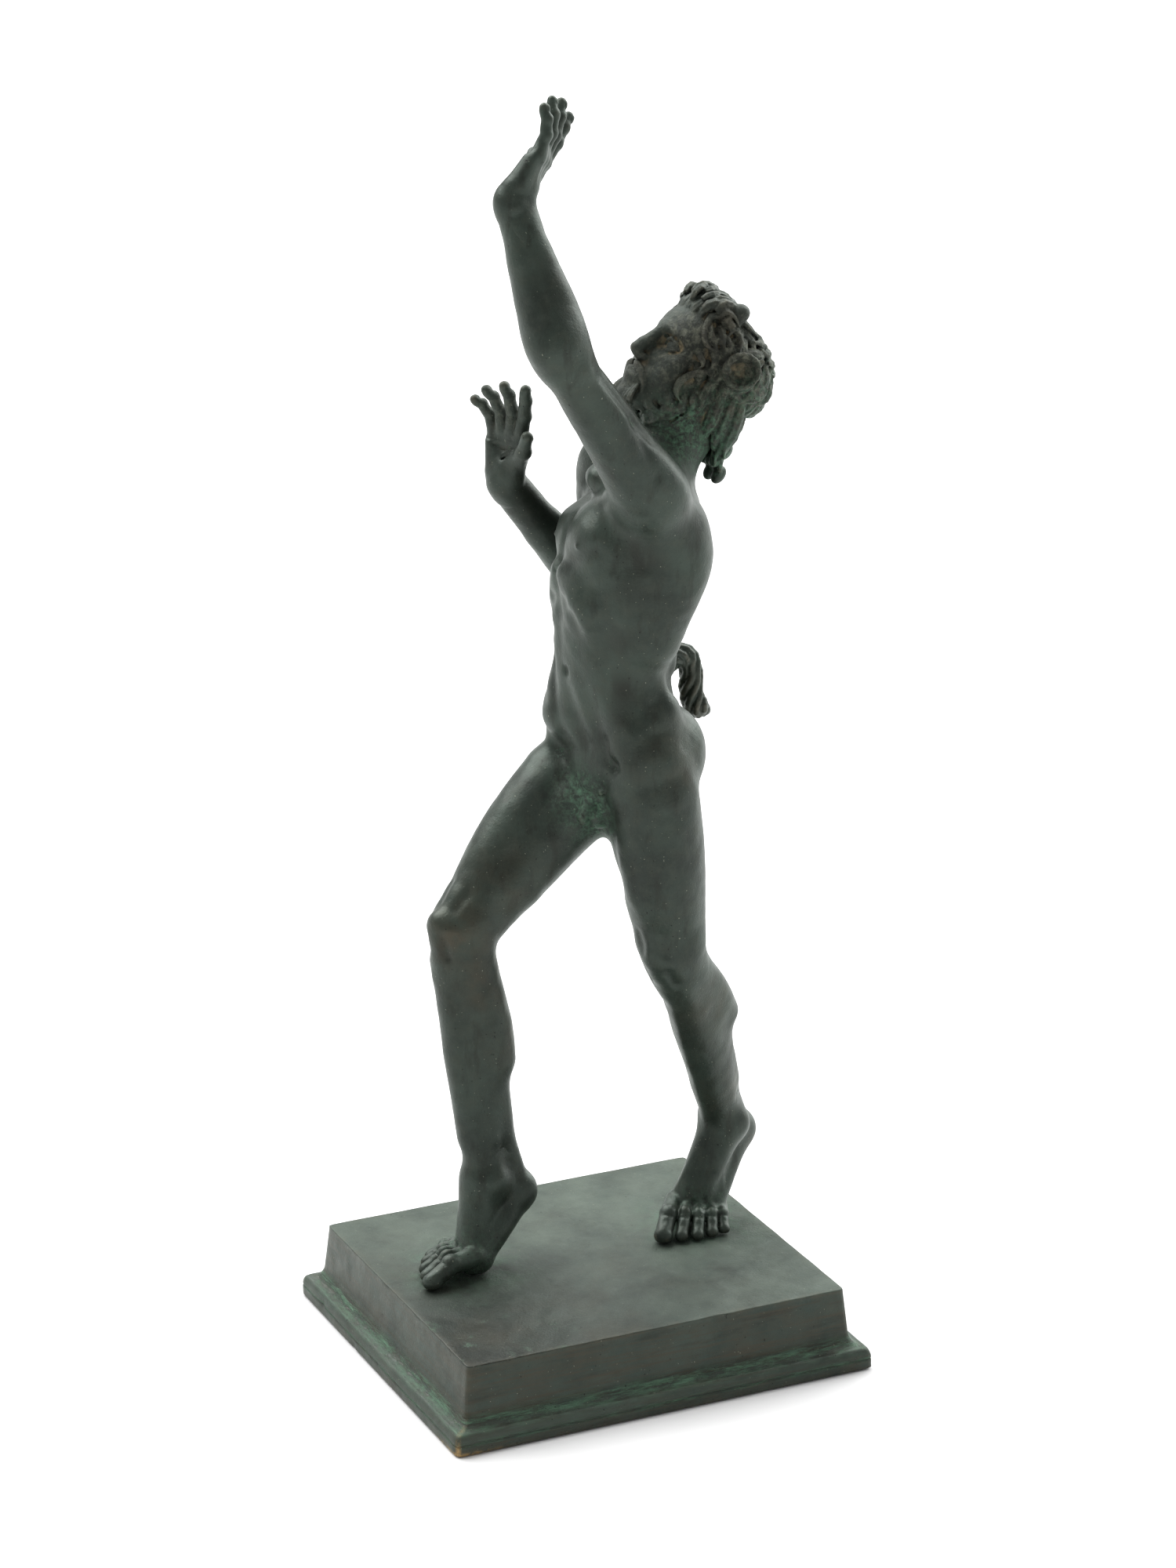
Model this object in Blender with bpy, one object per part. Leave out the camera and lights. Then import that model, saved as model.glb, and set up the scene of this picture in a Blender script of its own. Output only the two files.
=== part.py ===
"""A small bronze of a dancing faun on a moulded plinth.

Metres, +Z up. The origin is the middle of the plinth's underside. The faun faces -Y, so its left side is +X.
The figure is one casting, modelled like clay: rounded forms are blended on a grid of points, and the surface
is read from it. Its places are in figure units, a 236th of its height, measured from the middle of the
plinth's top. The plinth is a second casting.
"""

import math

import bpy
import numpy as np
import openvdb

# Driving dimensions, in metres
FIGURE_HEIGHT = 0.236
PLINTH_LENGTH = 0.0907
PLINTH_WIDTH = 0.0808
PLINTH_HEIGHT = 0.0165
BAND_HEIGHT = 0.0022
ROLL_HEIGHT = 0.0022
ROLL_DEPTH = 0.0011
COVE_HEIGHT = 0.0034
PLINTH_STEP = 0.0036
SLAB_TAPER = 0.0008
EDGE_BEVEL = 0.0003
SEAT_GAP = 0.0004

# The figure's own scale
UNITS_TALL = 236.0
UNIT = FIGURE_HEIGHT / UNITS_TALL
GRID_STEP = 0.8
SURFACE_TRIANGLES = 8600
FAR = 6.0

BRONZE = (0.045, 0.058, 0.052, 1.0)
BRONZE_DARK = (0.038, 0.050, 0.044, 1.0)


def vec(*xyz):
    return np.array(xyz, np.float64)


def unit(v):
    return v / np.linalg.norm(v)


def mix(a, b, t):
    return a + (b - a) * t


def turned(v, axis, degrees):
    """v turned about a unit axis by the right-hand rule."""
    c, s = math.cos(math.radians(degrees)), math.sin(math.radians(degrees))
    return v * c + np.cross(axis, v) * s + axis * (axis @ v) * (1 - c)


def along(x, y, z, a, b):
    """For each grid point, how far along the line from a to b it lies, and its offset from the line."""
    d = (b - a).astype(np.float32)
    x, y, z = x - np.float32(a[0]), y - np.float32(a[1]), z - np.float32(a[2])
    t = np.clip((x * d[0] + y * d[1] + z * d[2]) / np.float32(max(d @ d, 1e-9)), 0, 1)
    return t, (x - t * d[0], y - t * d[1], z - t * d[2])


class Clay:
    """A block of space on a grid. Forms are blended into it, and its surface is where the value is zero."""

    def __init__(self, low, high, step):
        self.low = np.array(low, np.float64)
        self.step = step
        self.size = np.ceil((np.array(high) - self.low) / step).astype(int) + 1
        self.value = np.full(self.size, FAR, np.float32)

    def block(self, low, high):
        """The part of the grid between two corners, and the three coordinates there."""
        first = np.maximum(np.floor((low - self.low) / self.step).astype(int), 0)
        last = np.minimum(np.ceil((high - self.low) / self.step).astype(int) + 1, self.size)
        where = tuple(slice(a, max(a, b)) for a, b in zip(first, last))
        lines = [
            (self.low[i] + self.step * np.arange(where[i].start, where[i].stop)).astype(np.float32)
            for i in range(3)
        ]
        return where, np.meshgrid(*lines, indexing="ij", sparse=True)

    def near(self, points, reach):
        points = np.array(points)
        return self.block(points.min(axis=0) - reach, points.max(axis=0) + reach)

    def join(self, where, distance, blend):
        old = self.value[where]
        step = np.maximum(blend - np.abs(old - distance), 0.0)
        self.value[where] = np.minimum(old, distance) - step * step * (0.25 / blend)

    def muscle(self, a, b, ra, rb, blend=2.0, bulge=0.0, flat=None, carve=False):
        """A tapering round form from a to b. bulge swells its middle, flat = (direction, share) thins it."""
        reach = max(ra, rb) + abs(bulge) + blend + self.step
        where, (x, y, z) = self.near([a, b], reach)
        if 0 in self.value[where].shape:
            return
        t, (x, y, z) = along(x, y, z, a, b)
        square = x * x + y * y + z * z
        if flat:
            n = unit(flat[0]).astype(np.float32)
            across = x * n[0] + y * n[1] + z * n[2]
            square = square + across * across * np.float32(1 / flat[1] ** 2 - 1)
        distance = np.sqrt(square) - (ra + (rb - ra) * t + 4 * bulge * t * (1 - t))
        if carve:
            old = self.value[where]
            step = np.maximum(blend - np.abs(old + distance), 0.0)
            self.value[where] = np.maximum(old, -distance) + step * step * (0.25 / blend)
        else:
            self.join(where, distance, blend)

    def egg(self, centre, radii, axes, blend=2.0):
        """An ellipsoid with these radii along three axes."""
        where, (x, y, z) = self.near([centre], max(radii) + blend + self.step)
        if 0 in self.value[where].shape:
            return
        x, y, z = x - np.float32(centre[0]), y - np.float32(centre[1]), z - np.float32(centre[2])
        once, twice = 0.0, 0.0
        for axis, radius in zip(axes, radii):
            way = (np.array(axis) / radius).astype(np.float32)
            share = x * way[0] + y * way[1] + z * way[2]
            once = once + share * share
            twice = twice + share * share / np.float32(radius**2)
        once = np.sqrt(once)
        self.join(where, once * (once - 1) / np.sqrt(twice + 1e-9), blend)

    def column(self, rows, blend=2.0):
        """An upright body lofted through level sections.

        Each row is height, centre x and y, facing in degrees, half width, depth to the front and to the back.
        """
        rows = np.array(rows, np.float64)
        lines = [self.low[i] + self.step * np.arange(self.size[i]) for i in range(3)]
        inside = (lines[2] >= rows[0, 0]) & (lines[2] <= rows[-1, 0])
        heights = lines[2][inside]
        tangents = np.gradient(rows, rows[:, 0], axis=0)
        spot = np.clip(np.searchsorted(rows[:, 0], heights, side="right") - 1, 0, len(rows) - 2)
        gap = (rows[spot + 1, 0] - rows[spot, 0])[:, None]
        t = (heights[:, None] - rows[spot, 0][:, None]) / gap
        curve = (
            rows[spot] * (1 + 2 * t) * (1 - t) ** 2
            + tangents[spot] * gap * t * (1 - t) ** 2
            + rows[spot + 1] * t**2 * (3 - 2 * t)
            + tangents[spot + 1] * gap * t**2 * (t - 1)
        ).astype(np.float32)
        x, y = np.meshgrid(lines[0].astype(np.float32), lines[1].astype(np.float32), indexing="ij")
        for level, (_, cx, cy, turn, wide, front, back) in zip(np.nonzero(inside)[0], curve):
            c, s = math.cos(math.radians(turn)), math.sin(math.radians(turn))
            left = (x - cx) * c + (y - cy) * s
            ahead = (x - cx) * s - (y - cy) * c
            deep = np.where(ahead > 0, front, back)
            rho = ((np.abs(left) / wide) ** 2.3 + (np.abs(ahead) / deep) ** 2.3) ** (1 / 2.3)
            distance = (rho - 1) * np.sqrt(left * left + ahead * ahead) / np.maximum(rho, 0.05)
            self.join((slice(None), slice(None), level), distance.astype(np.float32), blend)

    def press(self, points, width, depth):
        """Pushes the surface in along a line of points, or out where depth is negative."""
        for a, b in zip(points[:-1], points[1:]):
            where, (x, y, z) = self.near([a, b], 2.2 * width)
            if 0 in self.value[where].shape:
                continue
            _, (x, y, z) = along(x, y, z, a, b)
            near = np.exp(-(x * x + y * y + z * z) / width**2)
            self.value[where] += (depth * near).astype(np.float32)

    def mesh(self, name):
        """The surface as a Blender mesh in grid coordinates."""
        grid = openvdb.FloatGrid(FAR)
        grid.copyFromArray(self.value)
        points, quads = grid.convertToQuads(0.0)
        made = bpy.data.meshes.new(name)
        points = points * self.step + self.low
        made.from_pydata(points, [], quads)
        return made


class Segment:
    """One stretch of a limb. at(t, front, side) is t of the way along it, so far forwards and outwards."""

    def __init__(self, start, end, front, out):
        self.start, self.end = start, end
        self.axis = unit(end - start)
        self.front = unit(front - self.axis * (front @ self.axis))
        self.side = np.cross(self.front, self.axis) * out

    def at(self, t, front=0.0, side=0.0):
        return mix(self.start, self.end, t) + self.front * front + self.side * side


class Block:
    """A rigid mass of the trunk, such as the chest. at(left, front, up) is a point in its own directions."""

    def __init__(self, centre, up, facing, size=1.0):
        self.centre = centre
        self.size = size
        self.up = unit(up)
        self.front = unit(facing - self.up * (facing @ self.up))
        self.left = np.cross(self.up, self.front)
        self.axes = (self.left, self.front, self.up)

    def at(self, left=0.0, front=0.0, up=0.0):
        return self.centre + (self.left * left + self.front * front + self.up * up) * self.size


def facing(degrees, lift=0.0):
    """The level direction that many degrees from -Y towards the figure's left."""
    a = math.radians(degrees)
    return vec(math.sin(a), -math.cos(a), lift)


# The pose: joints in figure units from the middle of the plinth's top. 1 is the left side, -1 the right
PELVIS = vec(-6.0, 11.5, 107.0)
CHEST = vec(-6.0, 12.3, 147.0)
NECK = vec(-5.5, 19.0, 161.5)
SKULL = vec(-4.5, 26.8, 180.8)
HIP = {1: vec(3.6, 12.2, 104.5), -1: vec(-14.3, 8.0, 101.5)}
KNEE = {1: vec(4.5, 18.0, 65.0), -1: vec(-11.0, -20.8, 70.0)}
ANKLE = {1: vec(-8.0, 36.0, 20.0), -1: vec(-7.0, -18.0, 17.0)}
HEEL = {1: vec(-12.4, 40.6, 15.5), -1: vec(-8.0, -11.0, 13.0)}
BALL = {1: vec(-5.5, 28.6, 3.4), -1: vec(-5.0, -22.6, 3.4)}
SHOULDER = {1: vec(11.0, 9.4, 161.0), -1: vec(-23.0, 17.5, 157.5)}
ELBOW = {1: vec(14.5, -12.0, 191.5), -1: vec(-33.5, 20.0, 127.0)}
WRIST = {1: vec(4.0, -15.5, 217.5), -1: vec(-28.5, -3.0, 155.0)}
KNEE_WAY = {1: facing(32), -1: facing(10)}
TOE_WAY = {1: facing(58), -1: facing(4)}
HAND_WAY = {1: unit(vec(-0.15, 0.68, 0.82)), -1: unit(vec(0.06, 0.02, 0.96))}
PALM_WAY = {1: unit(vec(-0.6, -0.9, 0.2)), -1: unit(vec(0.35, -0.95, 0.0))}

# How far back each shoulder blade sits, how deep and tall it is, and how full each shin and calf is
BLADE = {1: (-9.2, 3.8, 8.0), -1: (-9.4, 4.9, 9.2)}
SHIN_FRONT = {1: 1.4, -1: 2.9}
CALF_BACK = {1: 2.2, -1: -0.4}

# Each finger from the first to the last: its place across the palm, its length and its lean in degrees
FINGERS = ((3.6, 11.0, 13), (1.25, 12.2, 4), (-1.2, 11.4, -5), (-3.5, 9.2, -15))
# How far each finger is bent, in degrees at its middle joint
CURLS = {1: (6, 14, 20, 24), -1: (10, 20, 26, 30)}

pelvis = Block(PELVIS, vec(0.0, -0.10, 1.0), facing(22))
chest = Block(CHEST, vec(-0.10, 0.22, 1.0), facing(-14))
head = Block(SKULL, vec(0.0, 0.60, 0.80), facing(0, 0.78), 1.12)

# The trunk's level sections: height, centre x and y, facing, half width, depth to the front and to the back
TRUNK = (
    (90.0, -6.0, 11.5, 22, 5.0, 3.0, 3.0),
    (97.0, -6.0, 11.5, 22, 13.0, 7.5, 8.0),
    (103.5, -6.0, 11.2, 22, 15.2, 9.0, 9.6),
    (110.0, -6.0, 10.4, 20, 14.8, 9.4, 8.8),
    (116.0, -6.0, 9.0, 15, 13.4, 9.2, 7.6),
    (122.0, -6.0, 9.0, 8, 12.8, 10.0, 7.8),
    (129.0, -6.0, 10.0, 1, 13.4, 11.4, 9.4),
    (137.0, -6.0, 11.0, -7, 14.8, 12.2, 11.2),
    (145.0, -6.0, 12.2, -13, 15.6, 12.4, 12.0),
    (151.0, -6.0, 13.6, -14, 15.4, 11.6, 11.0),
    (156.0, -5.8, 15.6, -14, 14.0, 9.4, 9.0),
    (160.5, -5.6, 17.4, -12, 11.0, 6.6, 7.0),
    (165.0, -5.5, 18.8, -8, 5.0, 4.0, 4.0),
)


def trunk(clay):
    """Pelvis, belly and rib cage, with the muscles of front, flanks and back."""
    clay.column(TRUNK, 2)
    clay.muscle(pelvis.at(0, 1.0, -6), pelvis.at(0, -0.5, -15.5), 7.0, 4.6, 5)
    for s in (1, -1):
        clay.egg(pelvis.at(7.4 * s, -5.4, -2.6), (7.8, 6.6, 8.8), pelvis.axes, 3.5)
        clay.muscle(pelvis.at(11.0 * s, 0.5, 8.0), pelvis.at(9.6 * s, 5.6, 5.0), 2.6, 2.4, 8)
        # Chest: the breast muscle, the broad one from waist to armpit, and the rib arch's edge
        clay.egg(chest.at(6.6 * s, 7.4, 0.2), (7.6, 4.4, 6.4), chest.axes, 4)
        clay.muscle(chest.at(11.0 * s, -2.0, -12), chest.at(13.0 * s, -2.0, 5), 3.2, 4.8, 7)
        clay.muscle(chest.at(2.4 * s, 9.2, -8.0), chest.at(7.6 * s, 7.6, -13.5), 2.0, 2.0, 6)
        clay.muscle(chest.at(1.6 * s, 7.0, 10.5), mix(chest.at(0, 5.6, 11), SHOULDER[s], 0.85), 1.4, 1.6, 3)
        # Back: shoulder blade and the columns beside the spine
        back, deep, tall = BLADE[s]
        clay.egg(chest.at(9.2 * s, back, -0.5), (6.6, deep, tall), chest.axes, 7)
        clay.muscle(chest.at(9.0 * s, -6.6, -17), chest.at(10.0 * s, back + 1.0, -5), 4.0, deep, 8)
        armpit = mix(chest.at(9.0 * s, back, 3), SHOULDER[s], 0.7)
        clay.muscle(chest.at(9.0 * s, back + 0.6, 1), armpit, deep, 4.4, 7)
        clay.muscle(pelvis.at(3.6 * s, -6.4, 8), chest.at(3.6 * s, -8.6, -12), 3.4, 3.6, 3.5)
        clay.muscle(chest.at(3.6 * s, -9.4, -12), chest.at(3.2 * s, -8.8, 8), 3.6, 3.2, 3.5)
        clay.muscle(chest.at(2.0 * s, -8.0, 2), mix(NECK, SHOULDER[s], 0.5) + vec(0, 1, 0), 3.4, 3.0, 5)
    spine = [pelvis.at(0, -11, 3), pelvis.at(0, -9, 13)]
    spine += [chest.at(0, -11.5, -18), chest.at(0, -13, -4), chest.at(0, -12, 8)]
    clay.press(spine, 2.0, 1.3)
    clay.press([pelvis.at(0, -15.5, -10), pelvis.at(0, -13.5, 1)], 1.6, 2.8)
    # Belly: the middle line, the edges of the straight muscle and two cross lines
    middle = [pelvis.at(0, 10.5, 2), chest.at(0, 11.0, -25), chest.at(0, 11.8, -16)]
    middle += [chest.at(0, 12.2, -6), chest.at(0, 11.6, 7)]
    clay.press(middle, 1.5, 0.7)
    clay.press([chest.at(0, 11.5, -27.5), chest.at(0, 9.5, -27.5)], 0.8, 1.6)
    for s in (1, -1):
        edge = [pelvis.at(5.5 * s, 9.6, 0), chest.at(7.0 * s, 9.0, -25), chest.at(7.4 * s, 9.6, -15)]
        clay.press(edge, 1.9, 0.7)
        groin = [pelvis.at(13.0 * s, 5.4, 5.0), pelvis.at(8.0 * s, 9.6, -1.5), pelvis.at(3.4 * s, 10.4, -7.5)]
        clay.press(groin, 2.0, 0.8)
        for up in (-13.5, -20.5):
            clay.press([chest.at(1.0 * s, 12.6, up), chest.at(5.6 * s, 11.4, up + 0.8)], 1.3, 0.45)
        breast = [chest.at(1.5 * s, 13.0, -4.6), chest.at(7.5 * s, 12.6, -5.4), chest.at(13.0 * s, 8.4, -1.5)]
        clay.press(breast, 1.5, 0.6)
    # Hollow below the right collar bone, where that shoulder is drawn back
    clay.press([chest.at(-13.5, 8.6, 7.0), chest.at(-4.0, 9.8, 8.6)], 3.6, 1.7)


def leg(clay, s):
    """Thigh, knee and shin."""
    thigh = Segment(HIP[s], KNEE[s], KNEE_WAY[s], s)
    shin = Segment(KNEE[s], ANKLE[s], KNEE_WAY[s], s)
    shin_axes = (shin.side, shin.front, shin.axis)
    full, back = SHIN_FRONT[s], CALF_BACK[s]
    clay.muscle(thigh.at(0.0), thigh.at(0.96), 8.4, 5.6, 4)
    clay.muscle(thigh.at(0.2, 2.4, 0.6), thigh.at(0.84, 2.6, 0.2), 5.9, 4.2, 4, bulge=1.9)
    clay.muscle(thigh.at(0.18, 0.4, 3.2), thigh.at(0.86, 1.2, 2.4), 5.6, 3.4, 4, bulge=0.7)
    clay.muscle(thigh.at(0.08, -2.0, -5.0), thigh.at(0.66, -1.6, -2.8), 8.4, 4.8, 4)
    clay.muscle(thigh.at(0.66, 1.6, -2.8), thigh.at(0.9, 1.2, -3.0), 3.4, 3.2, 3, bulge=0.5)
    clay.muscle(thigh.at(0.08, -2.6, 0.8), thigh.at(0.86, -2.4, 1.6), 6.3, 3.6, 4, bulge=0.6)
    clay.muscle(thigh.at(0.3, -4.0, -1.8), thigh.at(1.0, -2.4, -2.4), 5.6, 3.0, 3)
    clay.muscle(thigh.at(0.93, 1.6, 0), shin.at(0.03, 2.2, 0), 4.8, 4.4, 3)
    clay.egg(shin.at(-0.02, 5.4, 0), (3.2, 2.1, 3.8), shin_axes, 2)
    clay.muscle(shin.at(-0.02, 0.0, -1.8), shin.at(0.1, 0.4, -1.4), 4.4, 4.2, 3)
    clay.muscle(shin.at(-0.02, 0.0, 1.8), shin.at(0.1, 0.4, 1.4), 4.4, 4.2, 3)
    clay.muscle(shin.at(0.04, 3.6, 0), shin.at(0.16, 3.0, 0), 1.9, 2.0, 3)
    clay.muscle(shin.at(0.08, 0.6, 0), shin.at(1.0, 0.0, 0), 4.5, 4.2, 3)
    clay.muscle(shin.at(0.12, full, 1.4), shin.at(0.8, full - 1.0, 0.2), 3.2, 2.4, 3, bulge=0.6)
    clay.muscle(shin.at(0.06, -1.0, -2.0), shin.at(0.52, -4.4 - back, -2.0), 2.6, 3.6, 3, bulge=1.2)
    clay.muscle(shin.at(0.06, -1.0, 2.2), shin.at(0.46, -4.0 - back, 2.2), 2.6, 3.4, 3, bulge=1.1)
    clay.muscle(shin.at(0.48, -3.6 - 0.8 * back, 0), shin.at(0.74, -2.8, 0), 3.8, 2.6, 3)
    clay.muscle(shin.at(0.4, -2.0, 0), shin.at(0.8, -2.2, 0), 4.6, 3.2, 3)
    clay.muscle(shin.at(0.7, -3.2, 0), HEEL[s] + vec(0, 0, 2.2), 2.4, 2.5, 3)
    clay.egg(shin.at(0.985, 0.2, -3.4), (1.7, 1.9, 2.4), shin_axes, 2)
    clay.egg(shin.at(1.01, -0.4, 3.4), (1.7, 1.8, 2.4), shin_axes, 2)
    clay.press([shin.at(0.03, -5.8, 0), shin.at(0.46, -9.6, 0)], 1.4, 0.6)
    clay.press([shin.at(0.12, 3.6, -1.8), shin.at(0.7, 3.0, -2.6)], 1.5, 0.3)
    clay.press([thigh.at(0.5, 4.4, 5.0), thigh.at(0.92, 3.4, 4.4)], 1.6, 0.4)
    clay.press([thigh.at(0.2, 6.5, -5.0), thigh.at(0.62, 4.8, -5.4)], 2.2, 0.6)


def foot(clay, s):
    """A foot on its ball with the heel raised, and five toes flat on the plinth."""
    way = TOE_WAY[s]
    out = np.cross(vec(0, 0, 1), way) * s
    rise = vec(0, 0, 1)
    ball, heel, ankle = BALL[s], HEEL[s], ANKLE[s]
    clay.muscle(heel, mix(heel, ankle, 0.6), 3.9, 4.0, 2)
    clay.muscle(ankle + way * 0.6, ball + rise * 0.6, 4.4, 3.0, 2.5)
    clay.muscle(ankle + way * 1.2, ball - out * 2.4 + rise * 1.0, 3.6, 2.7, 2)
    clay.muscle(heel, ball - out * 2.8 - way * 0.8, 3.9, 3.0, 2)
    clay.muscle(heel + out * 0.8, ball + out * 3.4 - rise * 0.8, 3.8, 2.4, 2)
    for across, size in ((-3.4, 2.7), (0.0, 2.3), (3.2, 2.1)):
        pad = ball + out * across - rise * 1.0
        clay.muscle(pad, pad + way * 1.4 - rise * 0.2, size, size * 0.9, 1.6)
    for i, length in enumerate((10.6, 10.2, 9.4, 8.2, 6.8)):
        radius = 1.95 if i == 0 else 1.5 - 0.07 * i
        across = (-4.3, -1.5, 0.9, 3.1, 5.0)[i]
        fan = turned(way, rise, s * (4.5 * i - 7.0))
        root = ball + out * across + way * (0.8 - 0.45 * i) + rise * (0.6 - 0.35 * i)
        bend = root + fan * length * 0.55 + rise * (0.1 if i else -0.4)
        tip = root + fan * length
        tip[2] = radius * 0.62
        clay.muscle(root, bend, radius * 1.15, radius * 0.96, 0.8)
        clay.muscle(bend, tip, radius * 0.96, radius * 0.9, 0.6)


def arm(clay, s):
    """Shoulder, upper arm and forearm. The front of each segment is the inside of the elbow."""
    span, reach = ELBOW[s] - SHOULDER[s], WRIST[s] - ELBOW[s]
    hinge = np.cross(span, reach)
    upper = Segment(SHOULDER[s], ELBOW[s], np.cross(hinge, span), s)
    lower = Segment(ELBOW[s], WRIST[s], np.cross(hinge, reach), s)
    root = mix(NECK, SHOULDER[s], 0.62)
    clay.muscle(root, upper.at(0.05), 4.6, 5.6, 4)
    clay.muscle(upper.at(-0.02), upper.at(0.42), 6.4, 3.8, 3.5, bulge=0.8)
    clay.muscle(upper.at(0.1), upper.at(0.98), 5.0, 4.4, 3)
    clay.muscle(upper.at(0.22, 1.7, 0), upper.at(0.9, 1.2, 0), 3.8, 2.8, 2.5, bulge=1.1)
    clay.muscle(upper.at(0.12, -1.6, 0.2), upper.at(0.8, -1.5, 0.3), 4.2, 3.2, 2.5, bulge=0.8)
    clay.muscle(chest.at(6.0 * s, 5.2, 3), upper.at(0.2, 0, 0), 4.2, 2.8, 4, flat=(chest.front, 0.7))
    clay.muscle(chest.at(12.0 * s, -5.0, 2), upper.at(0.2, 0, 0), 4.8, 3.6, 4)
    clay.muscle(upper.at(0.92), lower.at(0.1), 4.5, 4.8, 2.5)
    clay.muscle(lower.at(-0.02, -1.8, 0), upper.at(0.9, -1.6, 0), 2.8, 2.8, 2)
    clay.muscle(lower.at(0.06), lower.at(1.0), 4.6, 3.3, 2.5)
    clay.muscle(upper.at(0.86, 0.4, 1.6), lower.at(0.6, 0.6, 1.0), 3.0, 2.8, 2.5, bulge=1.3)
    clay.muscle(upper.at(0.94, 0.2, -1.8), lower.at(0.6, 0.2, -0.9), 3.0, 2.8, 2.5, bulge=1.1)
    clay.muscle(lower.at(0.6), lower.at(1.02), 3.4, 3.1, 2)
    clay.press([upper.at(0.3, 0.4, 5.2), upper.at(0.85, -0.2, 4.8)], 1.2, 0.5)


def hand(clay, s):
    """An open hand with spread, gently bent fingers."""
    way = HAND_WAY[s]
    palm = unit(PALM_WAY[s] - way * (PALM_WAY[s] @ way))
    thumb = np.cross(palm, way) * s
    wrist = WRIST[s]
    flat = (palm, 0.6)
    clay.muscle(wrist - way * 0.5, wrist + way * 3.5, 3.3, 3.3, 2, flat=(palm, 0.85))
    for across, wide in ((3.1, 2.3), (1.0, 2.3), (-1.1, 2.2), (-3.1, 2.1)):
        start = wrist + way * 2.5 + thumb * across * 0.6
        clay.muscle(start, wrist + way * 9.6 + thumb * across, wide, wide, 1.6, flat=flat)
    heel = wrist + palm * 0.8
    clay.muscle(heel + way * 2.4 + thumb * 2.0, heel + way * 6.6 + thumb * 3.8, 2.3, 1.9, 1.6)
    clay.muscle(heel + way * 2.4 - thumb * 2.4, heel + way * 7.6 - thumb * 3.2, 1.9, 1.6, 1.6)
    for i, (across, length, lean) in enumerate(FINGERS):
        fan = turned(way, palm, s * lean)
        point = wrist + way * (10.2 - 0.4 * i) + thumb * across
        radius = 1.42 - 0.06 * i
        for share, turn in ((0.42, 0.3), (0.32, 1.1), (0.26, 1.9)):
            bent = turned(fan, thumb, -CURLS[s][i] * turn * s)
            end = point + bent * length * share
            clay.muscle(point, end, radius, radius * 0.9, 0.5)
            point, radius = end, radius * 0.9
    point = heel + way * 4.6 + thumb * 3.4
    for length, lean, thick in ((5.0, 42, 1.75), (4.6, 30, 1.45)):
        end = point + unit(turned(way, palm, s * lean) + palm * 0.3) * length
        clay.muscle(point, end, thick, thick * 0.84, 0.8)
        point = end


def neck_and_head(clay):
    """Neck, skull, face, ears, horns, and the mass of hair and beard."""
    k = head.size
    clay.muscle(NECK - chest.up * 2, head.at(0, -2.4, -5), 6.2, 6.4, 4)
    for s in (1, -1):
        clay.muscle(mix(NECK, SHOULDER[s], 0.6), mix(NECK, SKULL, 0.4) + vec(0, 2.5, 0), 3.2, 4.4, 5)
        clay.muscle(chest.at(1.4 * s, 7.4, 11.5), head.at(5.6 * s, -2.2, -3.5), 1.6, 2.2, 3)
    clay.egg(head.at(0, -1.8, 1.8), np.multiply((8.2, 9.4, 7.6), k), head.axes, 2)
    clay.egg(head.at(0, 3.2, -3.4), np.multiply((6.6, 6.8, 8.2), k), head.axes, 2)
    for s in (1, -1):
        clay.muscle(head.at(5.6 * s, -0.6, -4.6), head.at(1.8 * s, 7.0, -10.4), 2.2 * k, 2.2 * k, 2)
        clay.egg(head.at(4.6 * s, 6.4, -2.2), np.multiply((2.3, 2.0, 1.9), k), head.axes, 1.5)
        clay.muscle(head.at(0.6 * s, 9.2, 2.4), head.at(5.0 * s, 7.2, 2.6), 1.5 * k, 1.2 * k, 1.4)
        clay.press([head.at(2.2 * s, 10.2, 0.2), head.at(4.2 * s, 9.0, 0.2)], 1.7 * k, 1.7 * k)
        clay.muscle(head.at(2.9 * s, 7.2, 0.2), head.at(3.5 * s, 7.0, 0.2), 1.7 * k, 1.7 * k, 0.4)
        clay.muscle(head.at(1.3 * s, 10.4, -3.4), head.at(1.3 * s, 10.0, -3.6), 0.9 * k, 0.9 * k, 0.8)
    clay.muscle(head.at(0, 9.2, 1.8), head.at(0, 12.0, -3.0), 0.9 * k, 1.3 * k, 1.2)
    clay.muscle(head.at(0, 7.6, -10.2), head.at(0, 8.2, -11.2), 2.4 * k, 2.2 * k, 2)
    clay.muscle(head.at(-1.5, 9.2, -6.2), head.at(1.5, 9.2, -6.2), 0.9 * k, 0.9 * k, 0.8)
    clay.muscle(head.at(-1.3, 9.0, -7.9), head.at(1.3, 9.0, -7.9), 0.9 * k, 0.9 * k, 0.8)
    hair(clay)
    for s in (1, -1):
        ear(clay, s)
        horn(clay, s)


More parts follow.
